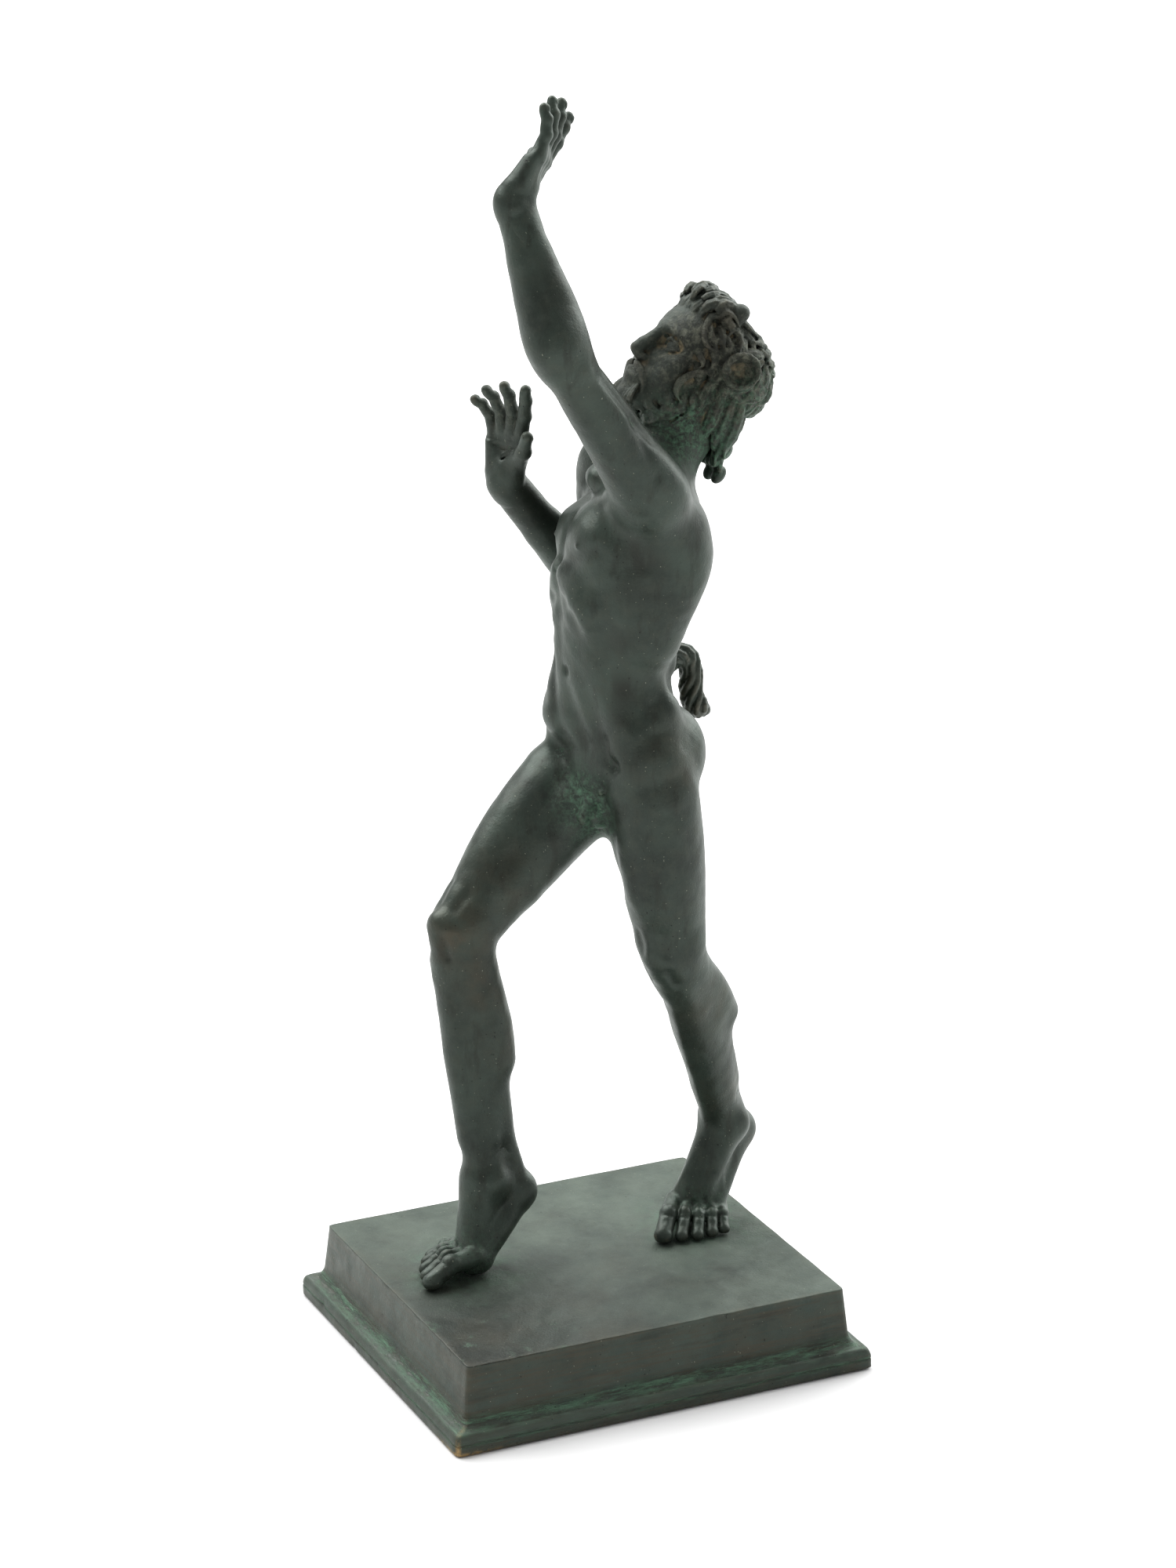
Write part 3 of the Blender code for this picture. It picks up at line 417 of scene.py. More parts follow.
def trunk(clay):
    """Pelvis, belly and rib cage, with the muscles of front, flanks and back."""
    clay.column(TRUNK, 2)
    low, high = Half(clay, pelvis), Half(clay, chest)
    low.muscle((0, 1, -6), (0, -0.5, -15.5), 7, 4.6, 5)
    for s in (1, -1):
        hip, rib = Half(clay, pelvis, s), Half(clay, chest, s)
        hip.egg((7.4, -5.4, -2.6), (7.8, 6.6, 8.8), 3.5)
        hip.muscle((11, 0.5, 8), (9.6, 5.6, 5), 2.6, 2.4, 8)
        # Chest: the breast muscle, the broad one from waist to armpit, and the rib arch's edge
        rib.egg((6.6, 7.4, 0.2), (7.6, 4.4, 6.4), 4)
        rib.muscle((11, -2, -12), (13, -2, 5), 3.2, 4.8, 7)
        rib.muscle((2.4, 9.2, -8), (7.6, 7.6, -13.5), 2, 2, 6)
        clay.muscle(rib.at(1.6, 7, 10.5), mix(chest.at(0, 5.6, 11), SHOULDER[s], 0.85), 1.4, 1.6, 3)
        # Back: shoulder blade and the columns beside the spine
        back, deep, tall = BLADE[s]
        rib.egg((9.2, back, -0.5), (6.6, deep, tall), 7)
        rib.muscle((9, -6.6, -17), (10, back + 1, -5), 4, deep, 8)
        clay.muscle(rib.at(9, back + 0.6, 1), mix(rib.at(9, back, 3), SHOULDER[s], 0.7), deep, 4.4, 7)
        clay.muscle(hip.at(3.6, -6.4, 8), rib.at(3.6, -8.6, -12), 3.4, 3.6, 3.5)
        rib.muscle((3.6, -9.4, -12), (3.2, -8.8, 8), 3.6, 3.2, 3.5)
        clay.muscle(rib.at(2, -8, 2), mix(NECK, SHOULDER[s], 0.5) + vec(0, 1, 0), 3.4, 3, 5)
    spine = [low.at(0, -11, 3), low.at(0, -9, 13)]
    spine += [high.at(0, -11.5, -18), high.at(0, -13, -4), high.at(0, -12, 8)]
    clay.press(spine, 2, 1.3)
    low.press([(0, -15.5, -10), (0, -13.5, 1)], 1.6, 2.8)
    # Belly: the middle line, the edges of the straight muscle and two cross lines
    middle = [low.at(0, 10.5, 2), high.at(0, 11, -25), high.at(0, 11.8, -16)]
    middle += [high.at(0, 12.2, -6), high.at(0, 11.6, 7)]
    clay.press(middle, 1.5, 0.7)
    high.press([(0, 11.5, -27.5), (0, 9.5, -27.5)], 0.8, 1.6)
    for s in (1, -1):
        hip, rib = Half(clay, pelvis, s), Half(clay, chest, s)
        clay.press([hip.at(5.5, 9.6, 0), rib.at(7, 9, -25), rib.at(7.4, 9.6, -15)], 1.9, 0.7)
        hip.press([(13, 5.4, 5), (8, 9.6, -1.5), (3.4, 10.4, -7.5)], 2, 0.8)
        for up in (-13.5, -20.5):
            rib.press([(1, 12.6, up), (5.6, 11.4, up + 0.8)], 1.3, 0.45)
        rib.press([(1.5, 13, -4.6), (7.5, 12.6, -5.4), (13, 8.4, -1.5)], 1.5, 0.6)
    # Hollow below the right collar bone, where that shoulder is drawn back
    high.press([(-13.5, 8.6, 7), (-4, 9.8, 8.6)], 3.6, 1.7)


def leg(clay, s):
    """Thigh, knee and shin."""
    thigh, shin = leg_parts(s)
    full, back = SHIN_FRONT[s], CALF_BACK[s]
    thigh.build(clay, (
        (0, 0, 0, 0.96, 0, 0, 8.4, 5.6, 4),
        (0.2, 2.4, 0.6, 0.84, 2.6, 0.2, 5.9, 4.2, 4, 1.9),
        (0.18, 0.4, 3.2, 0.86, 1.2, 2.4, 5.6, 3.4, 4, 0.7),
        (0.08, -2, -5, 0.66, -1.6, -2.8, 8.4, 4.8, 4),
        (0.66, 1.6, -2.8, 0.9, 1.2, -3, 3.4, 3.2, 3, 0.5),
        (0.08, -2.6, 0.8, 0.86, -2.4, 1.6, 6.3, 3.6, 4, 0.6),
        (0.3, -4, -1.8, 1, -2.4, -2.4, 5.6, 3, 3),
    ))
    clay.muscle(thigh.at(0.93, 1.6, 0), shin.at(0.03, 2.2, 0), 4.8, 4.4, 3)
    clay.egg(shin.at(-0.02, 5.4, 0), (3.2, 2.1, 3.8), shin.axes, 2)
    shin.build(clay, (
        (-0.02, 0, -1.8, 0.1, 0.4, -1.4, 4.4, 4.2, 3),
        (-0.02, 0, 1.8, 0.1, 0.4, 1.4, 4.4, 4.2, 3),
        (0.04, 3.6, 0, 0.16, 3, 0, 1.9, 2, 3),
        (0.08, 0.6, 0, 1, 0, 0, 4.5, 4.2, 3),
        (0.12, full, 1.4, 0.8, full - 1, 0.2, 3.2, 2.4, 3, 0.6),
        (0.06, -1, -2, 0.52, -4.4 - back, -2, 2.6, 3.6, 3, 1.2),
        (0.06, -1, 2.2, 0.46, -4 - back, 2.2, 2.6, 3.4, 3, 1.1),
        (0.48, -3.6 - 0.8 * back, 0, 0.74, -2.8, 0, 3.8, 2.6, 3),
        (0.4, -2, 0, 0.8, -2.2, 0, 4.6, 3.2, 3),
    ))
    clay.muscle(shin.at(0.7, -3.2, 0), HEEL[s] + vec(0, 0, 2.2), 2.4, 2.5, 3)
    clay.egg(shin.at(0.985, 0.2, -3.4), (1.7, 1.9, 2.4), shin.axes, 2)
    clay.egg(shin.at(1.01, -0.4, 3.4), (1.7, 1.8, 2.4), shin.axes, 2)
    shin.press(clay, (0.03, -5.8, 0), (0.46, -9.6, 0), 1.4, 0.6)
    shin.press(clay, (0.12, 3.6, -1.8), (0.7, 3, -2.6), 1.5, 0.3)
    thigh.press(clay, (0.5, 4.4, 5), (0.92, 3.4, 4.4), 1.6, 0.4)
    thigh.press(clay, (0.2, 6.5, -5), (0.62, 4.8, -5.4), 2.2, 0.6)


def arm(clay, s):
    """Shoulder, upper arm and forearm."""
    upper, lower = arm_parts(s)
    rib = Half(clay, chest, s)
    clay.muscle(mix(NECK, SHOULDER[s], 0.62), upper.at(0.05), 4.6, 5.6, 4)
    upper.build(clay, (
        (-0.02, 0, 0, 0.42, 0, 0, 6.4, 3.8, 3.5, 0.8),
        (0.1, 0, 0, 0.98, 0, 0, 5, 4.4, 3),
        (0.22, 1.7, 0, 0.9, 1.2, 0, 3.8, 2.8, 2.5, 1.1),
        (0.12, -1.6, 0.2, 0.8, -1.5, 0.3, 4.2, 3.2, 2.5, 0.8),
    ))
    clay.muscle(rib.at(6, 5.2, 3), upper.at(0.2), 4.2, 2.8, 4, flat=(chest.front, 0.7))
    clay.muscle(rib.at(12, -5, 2), upper.at(0.2), 4.8, 3.6, 4)
    clay.muscle(upper.at(0.92), lower.at(0.1), 4.5, 4.8, 2.5)
    clay.muscle(lower.at(-0.02, -1.8), upper.at(0.9, -1.6), 2.8, 2.8, 2)
    clay.muscle(lower.at(0.06), lower.at(1), 4.6, 3.3, 2.5)
    clay.muscle(upper.at(0.86, 0.4, 1.6), lower.at(0.6, 0.6, 1), 3, 2.8, 2.5, 1.3)
    clay.muscle(upper.at(0.94, 0.2, -1.8), lower.at(0.6, 0.2, -0.9), 3, 2.8, 2.5, 1.1)
    clay.muscle(lower.at(0.6), lower.at(1.02), 3.4, 3.1, 2)
    upper.press(clay, (0.3, 0.4, 5.2), (0.85, -0.2, 4.8), 1.2, 0.5)


def neck(clay):
    """The neck with its cords, up into the skull."""
    clay.muscle(NECK - chest.up * 2, head.at(0, -2.4, -5), 6.2, 6.4, 4)
    for s in (1, -1):
        clay.muscle(mix(NECK, SHOULDER[s], 0.6), mix(NECK, SKULL, 0.4) + vec(0, 2.5, 0), 3.2, 4.4, 5)
        clay.muscle(chest.at(1.4 * s, 7.4, 11.5), head.at(5.6 * s, -2.2, -3.5), 1.6, 2.2, 3)


# Shells of the head that locks grow from, as centre and radii in head units, and the crown's direction
SCALP = (vec(0.0, -3.0, 1.4), vec(8.6, 10.2, 7.8))
JAW = (vec(0.0, 2.4, -4.2), vec(6.9, 7.6, 8.6))
TEMPLE = (vec(0.0, -1.8, 2.2), vec(8.6, 10.0, 9.1))
QUIFF = (vec(0.0, 3.6, 8.6), vec(6.6, 4.9, 3.4))
CROWN = unit(vec(0.0, -0.62, 0.80))

# Ranges of a lock's lean in degrees, its length, width, wave, curl and rise
SCALP_LOCKS = ((-20, 20), (5.0, 7.6), (1.15, 1.65), (12, 26), (-16, 40), (0.35, 1.15))
QUIFF_LOCKS = ((-50, 50), (3.6, 5.4), (0.85, 1.25), (14, 30), (-20, 70), (0.3, 1.0))
TEMPLE_LOCKS = ((-40, 40), (2.8, 4.4), (0.7, 1.0), (14, 30), (10, 85), (0.4, 1.0))
BEARD_LOCKS = ((-30, 30), (3.4, 5.0), (0.8, 1.15), (14, 30), (-10, 75), (0.5, 1.2))

# How many directions each shell is sown with, and how many locks make the whorl at the crown
SCALP_COUNT = 190
QUIFF_COUNT = 64
TEMPLE_COUNT = 300
BEARD_COUNT = 230
WHORL_COUNT = 22

# Nape locks start behind this, and a lock takes a point every so far, in head units
NAPE_FRONT = -9.0
LOCK_STEP = 0.9

# A hooked curl at the temple, a smaller one inside it, and two locks before the ear: points, widths, strands
TEMPLE_CURLS = (
    (((5.2, 5.8, 8.0), (6.2, 6.2, 6.2), (7.0, 5.8, 4.0), (7.9, 4.7, 2.5), (8.3, 2.5, 2.9), (8.4, 1.4, 4.4)),
     (0.5, 0.8, 0.9, 0.9, 0.7, 0.35), 4),
    (((7.0, 5.6, 5.9), (7.5, 4.9, 4.4), (7.8, 3.6, 4.1), (7.8, 3.0, 5.0)), (0.4, 0.7, 0.6, 0.3), 2),
    (((8.2, 0.4, 1), (7.9, 2.4, -0.9), (7.4, 4.4, -2.9), (7, 5.2, -5), (7, 4.6, -6.8), (7.1, 3.2, -7.4)),
     (0.5, 0.8, 0.85, 0.85, 0.7, 0.35), 3),
    (((8.2, -0.4, 0.4), (8.0, 0.2, -2.0), (7.6, 0.0, -4.6), (7.3, -0.8, -6.8), (6.6, -0.4, -8.6)),
     (0.6, 1.1, 1.2, 1.1, 0.5), 3),
)

UPPER_LID = ((1.4, 8.0, -0.6), (2.1, 8.55, 0.45), (3.0, 8.65, 0.75), (3.95, 8.05, 0.4), (4.7, 7.2, -0.4))
LOWER_LID = ((1.4, 8.0, -0.6), (2.3, 8.3, -1.3), (3.2, 8.3, -1.45), (4.1, 7.8, -1.05), (4.7, 7.2, -0.4))


def sphere(count):
    """Directions spread evenly over a sphere."""
    made = []
    for i in range(count):
        up = 1 - 2 * (i + 0.5) / count
        around = i * math.pi * (3 - math.sqrt(5))
        ring = math.sqrt(1 - up * up)
        made.append(vec(ring * math.cos(around), ring * math.sin(around), up))
    return made


def long_locks():
    """The long locks, each as its side, points, widths along them, and the ways sideways and outward."""
    made = []
    for s in (1, -1):
        # The quiff over the forehead, parted in the middle, and the locks behind it
        for a, lean in ((0.7, 0.0), (2.2, -0.3), (3.7, -0.9), (5.1, -1.8)):
            low, high = 0.09 * a * a, 11.4 + lean
            points = [(a, 7.9 - low, 5.4), (a * 1.02, 8.4 - low, 7.6), (a * 1.12, 7 - low, 10 + lean)]
            points += [(a * 1.25, 5, high), (a * 1.35, 2.8, high), (a * 1.3, 1, high - 1)]
            widths = (0.8, 1.25, 1.4, 1.35, 1.1, 0.5)
            made.append((s, points, widths, head.left * s, unit(head.front + head.up)))
        for a in (1.0, 3.0):
            points = [(a, 4.2, 10.4), (a * 1.2, 2.2, 10.6), (a * 1.5, 0.2, 9.9), (a * 1.6, -2, 9.6)]
            points.append((a * 1.4, -4.4, 9.4))
            made.append((s, points, (0.8, 1.4, 1.5, 1.2, 0.5), head.left * s, head.up))
        # Broad pointed locks below the ear
        for y, z, share in ((-2.6, -1.6, 1.0), (-4.8, -1.2, 1.1), (-7.0, -1.4, 1.15)):
            points = [(8, y, z), (8.1, y - 0.6 * share, z - 2.8 * share), (7, y - 2 * share, z - 5.2 * share)]
            points += [(6.4, y - 2.2 * share, z - 7.2 * share), (5.2, y - 3.6 * share, z - 8.8 * share)]
            made.append((s, points, (1.0, 1.8, 1.9, 1.3, 0.4), head.front, head.left * s))
    # Nape locks that leave the head and end in points
    for row, (high, back, drop) in enumerate(((-2.6, -12.0, 8.6), (-5.4, -11.2, 7.6))):
        for i in range(7 - row):
            a = (i - (6 - row) / 2) * 2.1
            here, sway = back + 0.085 * a * a, 0.8 * math.sin(2.6 * i + 1.3 * row)
            points = [(a, here, high), (a + 0.4 * sway, here - 0.7, high - 0.3 * drop)]
            points += [(a, here - 0.4, high - 0.58 * drop), (a - 0.6 * sway, here - 0.9, high - 0.82 * drop)]
            points.append((a - sway, here - 2.2, high - drop))
            made.append((1, points, (1.1, 1.5, 1.5, 1.15, 0.35), head.left, -head.front))
    for a, tip in ((3.6, 1.2), (0.6, -0.8)):
        points = [(a, -10.6, -8.6), (a, -11.4, -10.8), (a - 0.4, -12.4, -12.6), (a - 0.8, -13.8, -13.7)]
        points.append((a - 0.6 + tip, -14.9, -13.3))
        made.append((1, points, (1.3, 1.6, 1.6, 1.3, 0.5), head.left, -head.front))
    return made


def strands(clay, points, widths, ways, count, blend=0.12):
    """A lock along a line: strands side by side, the middle ones raised. ways are sideways and outward."""
    for j in range(count):
        a = (j - (count - 1) / 2) * 2 / max(count, 2) * 1.3
        line, radii = [], []
        for point, width, (side, normal) in zip(points, widths, ways):
            shift = side * math.sin(a) + normal * (math.cos(a) - 0.6)
            line.append(point + shift * width * 0.66)
            radii.append(max(width * (1.3 / (count + 0.6)), 0.14))
        for k in range(len(line) - 1):
            clay.muscle(line[k], line[k + 1], radii[k], radii[k + 1], blend)


def lock(clay, shell, start, aim, length, width, wave, curl, rise, count, phase):
    """A lock that grows from a shell of the head, waves, and turns in a curl at its end. In head units."""
    centre, radii = shell
    place = centre + radii * unit(start)
    heading = np.array(aim, float)
    steps = max(5, int(length / LOCK_STEP))
    points, widths, ways = [], [], []
    for i in range(steps + 1):
        t = i / steps
        normal = unit((place - centre) / radii**2)
        heading = unit(heading - normal * (heading @ normal))
        side = np.cross(normal, heading)
        lift = rise * (0.1 + 0.9 * math.sin(0.5 * math.pi * min(1.0, t * 1.4)))
        points.append(head.at(*(place + normal * lift)))
        thick = 0.6 + 0.4 * math.sin(math.pi * min(1, 0.15 + t))
        widths.append(width * head.size * thick * (1 - 0.55 * t**3))
        ways.append([head.left * v[0] + head.front * v[1] + head.up * v[2] for v in (side, normal)])
        turn = wave * math.cos(6.0 * t + phase) + curl * max(0.0, t - 0.35) / 0.65
        heading = turned(heading, normal, turn * length / steps / LOCK_STEP)
        place = place + heading * length / steps
        place = centre + radii * unit((place - centre) / radii)
    strands(clay, points, widths, ways, count)


def grow(clay, rng, shell, spread, aim, ranges, count=3):
    """A lock whose lean, length, width, wave, curl and rise are drawn from ranges, in this order."""
    aim = turned(aim, spread, rng.uniform(*ranges[0]))
    length, width, wave, curl, rise = [rng.uniform(*span) for span in ranges[1:]]
    way = 1 if spread[0] > 0 else -1
    lock(clay, shell, spread, aim, length, width, wave, way * curl, rise, count, rng.uniform(0, 6))


def ply(clay, s, points, widths, side, out, count):
    """A lock through points of one side of the head, drawn smooth."""
    line, spot = smooth_line([(x * s, y, z) for x, y, z in points], 3 * len(points) - 2)
    widths = np.interp(spot, range(len(widths)), widths) * head.size
    strands(clay, [head.at(*p) for p in line], widths, [(side, out)] * len(line), count, 0.1)


def hair(clay):
    """Locks that sweep from the crown, stand up over the forehead and end in points at the nape."""
    rng = np.random.default_rng(11)
    whole = Half(clay, head)
    whole.egg((0, 3.6, 7.8), (5.6, 4.2, 3.4), 1.5)
    whole.egg((0, -2.9, 1.0), (7.9, 9.5, 7.0), 1)
    for spread in sphere(SCALP_COUNT):
        side, front, up = SCALP[0] + SCALP[1] * spread
        face_below = front > 4.6 and up < 8.4 or front > 1.2 and up < 3.4
        if face_below or front > -4.6 and up < -3.2 or up < -7.0:
            continue
        away = spread - CROWN * (spread @ CROWN) + vec(0.03 * side, 0, -0.15)
        grow(clay, rng, SCALP, spread, away, SCALP_LOCKS, 4)
    for s, points, widths, side, out in long_locks():
        if points[0][1] < NAPE_FRONT:
            points, widths = points[:-1], widths[:-1]
            Half(clay, head, s).egg(points[-1], (1.25, 1.15, 1.7), 0.6)
        ply(clay, s, points, np.maximum(widths, 0.62), side, out, 4)
    # The whorl at the crown
    across = vec(1, 0, 0)
    back = np.cross(CROWN, across)
    for i in range(WHORL_COUNT):
        ring = across * math.cos(2.4 * i) + back * math.sin(2.4 * i)
        root, aim = unit(CROWN + ring * (0.04 + 0.013 * i)), turned(ring, CROWN, 35)
        length, width, rise = [rng.uniform(*span) for span in ((4.0, 5.5), (1.0, 1.4), (0.7, 1.2))]
        lock(clay, SCALP, root, aim, length, width, 18, 30, rise, 4, i)
    for spread in sphere(QUIFF_COUNT):
        if spread[2] < -0.25 or spread[1] < -0.75:
            continue
        grow(clay, rng, QUIFF, spread, vec(0.35 * spread[0], -1, 0.6 - 0.6 * spread[2]), QUIFF_LOCKS)
    for spread in sphere(TEMPLE_COUNT):
        side, front, up = TEMPLE[0] + TEMPLE[1] * spread
        if abs(side) < 5.0 or front < -0.5 or front > 6.4 - 0.25 * abs(up - 3.0) or up < -6.5 or up > 8.5:
            continue
        grow(clay, rng, TEMPLE, spread, vec(0.0, -0.8, -0.7), TEMPLE_LOCKS)
    for s in (1, -1):
        out = unit(head.left * s + head.front * 0.4)
        sides = (unit(np.cross(out, head.up)), head.up, head.front, head.front)
        outs = (out, out, out, head.left * s)
        for (points, widths, count), side, outward in zip(TEMPLE_CURLS, sides, outs):
            ply(clay, s, points, widths, side, outward, count)


def beard(clay):
    """Curly locks on the jaw, swept back below it, and a moustache."""
    rng = np.random.default_rng(23)
    for spread in sphere(BEARD_COUNT):
        side, front, up = JAW[0] + JAW[1] * spread
        edge = -3.0 - 0.80 * (front - 1.0) if front > 1.0 else -3.0
        if up > edge or front < -2.4 or up < -12.6 or abs(side) < 2.1 and up > -9.4:
            continue
        grow(clay, rng, JAW, spread, vec(0.25 if side > 0 else -0.25, -0.3, -1.0), BEARD_LOCKS)
    for s in (1, -1):
        points = [(0.3, 10.7, -5.8), (1.5, 10.6, -6.2), (2.9, 9.6, -7.0), (3.8, 8.5, -8.6), (3.4, 8.3, -10.0)]
        ply(clay, s, points, (0.5, 0.85, 0.85, 0.7, 0.3), head.up, head.front, 3)
        for a, low, turn in ((0.5, -13.6, 0.5), (1.4, -13.8, -0.5), (2.3, -13.3, 0.6), (3.2, -12.6, -0.3)):
            points = [(a * 0.9, 9.2, -9.0), (a + turn * 0.5, 9.5, -10.4), (a - turn * 0.5, 9.4, -11.9)]
            points += [(a * 0.85 + turn * 0.4, 8.8, low + 0.7), (a * 0.8, 8.0, low)]
            ply(clay, s, points, (0.4, 0.75, 0.8, 0.6, 0.25), head.left, head.front, 3)


def face(clay):
    """A calm, plain face: brow, lidded eyes, straight nose and closed lips."""
    whole = Half(clay, head)
    whole.egg((0, 3.4, 3.6), (7.0, 6.0, 5.4), 3)
    for s in (1, -1):
        half = Half(clay, head, s)
        half.egg((4.6, 6.3, -2.5), (2.3, 2.0, 1.8), 2)
        half.egg((3.7, 6.3, -5.6), (2.5, 2.4, 2.8), 2)
        half.muscle((1.0, 9.0, 1.9), (4.6, 7.0, 2.0), 0.95, 0.75, 1.4)
        half.press([(2.0, 9.4, -0.3), (4.2, 8.4, -0.3)], 1.45, 1.7)
        half.egg((2.95, 7.0, -0.3), (1.65, 1.55, 1.45), 0.1)
        for line, thick in ((UPPER_LID, 0.30), (LOWER_LID, 0.22)):
            for a, b in zip(line[:-1], line[1:]):
                half.muscle(a, b, thick, thick, 0.3)
        # Nostril and its wing, then the lips
        half.egg((1.05, 10.1, -4.35), (0.62, 0.9, 0.66), 0.5)
        half.muscle((0.62, 10.9, -5.3), (0.55, 10.9, -4.8), 0.36, 0.3, 0.15, carve=True)
        half.muscle((0.25, 10.35, -6.95), (2.1, 9.35, -7.2), 0.52, 0.28, 0.35)
        half.muscle((0.2, 10.15, -8.05), (1.8, 9.45, -7.65), 0.6, 0.3, 0.4)
        half.press([(0, 10.7, -7.45), (2.2, 9.6, -7.4)], 0.34, 0.42)
    whole.muscle((0, 9.1, 2.0), (0, 11.2, -2.4), 0.95, 1.0, 1.3)
    whole.muscle((0, 11.2, -2.4), (0, 11.75, -3.7), 1.0, 1.12, 0.6)
    whole.muscle((0, 9.6, -5.2), (0, 11.2, -4.4), 0.6, 0.7, 0.5)
    whole.press([(0, 10.5, -5.6), (0, 10.6, -6.6)], 0.5, 0.25)
    whole.muscle((0, 7.8, -9.6), (0, 8.0, -11.0), 2.3, 2.2, 1.6)
    whole.egg((0, 8.4, -7.4), (3.2, 2.0, 1.9), 1.5)


def ear(clay, s):
    """A round cupped ear with a rolled rim, drawn out to a small point above."""
    k = head.size
    out = unit(head.left * s + head.front * 0.22 - head.up * 0.1)
    high = unit(head.up * 0.80 - head.front * 0.60)
    high = unit(high - out * (high @ out))
    wide = np.cross(out, high)
    heart = head.at(8.7 * s, -2.5, 2.6) + out * 1.3
    clay.muscle(head.at(7.2 * s, -2.2, 2.2), heart, 2.7 * k, 2.7 * k, 0.6)
    clay.egg(heart, np.multiply((3.2, 3.0, 1.2), k), (high, wide, out), 0.4)
    tip = heart + high * 4.0 * k - out * 0.4
    clay.muscle(heart + high * 2.0 * k, tip, 1.2 * k, 0.5 * k, 0.5, flat=(out, 0.6))
    cup = heart + out * 1.5 * k
    clay.muscle(cup + high * 0.3, cup - high * 0.3, 2.35 * k, 2.35 * k, 0.2, flat=(out, 0.7), carve=True)
    rim = []
    for i in range(17):
        a = 2 * math.pi * i / 16
        rim.append(heart + (high * math.cos(a) * 2.95 + wide * math.sin(a) * 2.75 + out * 0.75) * k)
    for a, b in zip(rim[:-1], rim[1:]):
        clay.muscle(a, b, 0.52 * k, 0.52 * k, 0.2)
    flap = heart - high * 1.6 * k + head.front * 1.4 * k + out * 0.8
    clay.egg(flap, (0.9 * k, 0.8 * k, 0.7 * k), head.axes, 0.3)


def horn(clay, s):
    """A short blunt horn among the front locks, with a faint ring below its rubbed end."""
    k = head.size
    low, high = head.at(4.2 * s, 2.6, 8.6), head.at(6.0 * s, 1.6, 10.9)
    clay.muscle(low, high, 2.0 * k, 1.5 * k, 0.3)
    clay.muscle(mix(low, high, 0.8), mix(low, high, 0.86), 1.76 * k, 1.72 * k, 0.2)
    across = unit(np.cross(high - low, head.front))
    other = unit(np.cross(high - low, across))
    for i in range(5):
        a = 2 * math.pi * i / 5
        line = []
        for turn, reach, lift in ((0.0, 2.4, 0.1), (0.6, 2.8, 0.3), (1.2, 2.7, 0.34), (1.8, 2.2, 0.2)):
            ring = across * math.cos(a + turn) + other * math.sin(a + turn)
            line.append(mix(low, high, lift) + ring * reach * k)
        outward = unit(line[1] - mix(low, high, 0.3))
        strands(clay, line, np.array([0.7, 1.2, 1.1, 0.4]) * k, [(unit(high - low), outward)] * 4, 3)


def skull(clay):
    """Skull and jaw under face and hair."""
    whole = Half(clay, head)
    whole.egg((0, -1.8, 1.8), (8.2, 9.4, 7.6), 2)
    whole.egg((0, 3.2, -3.4), (6.6, 6.8, 8.2), 2)
    for s in (1, -1):
        Half(clay, head, s).muscle((5.6, -0.6, -4.6), (1.8, 7.0, -10.4), 2.2, 2.2, 2)


def nail(clay, tip, ahead, back, size):
    """A finger or toe nail: a low plate with a fold of skin round it."""
    side = np.cross(ahead, back)
    folds = [tip - ahead * size * share + back * size * 0.5 for share in (0.9, 0.7)]
    clay.press(folds, 0.55, 0.16)
    clay.egg(tip + back * size * 0.16, (0.62 * size, 0.85 * size, 0.26 * size), (side, ahead, back), 0.08)


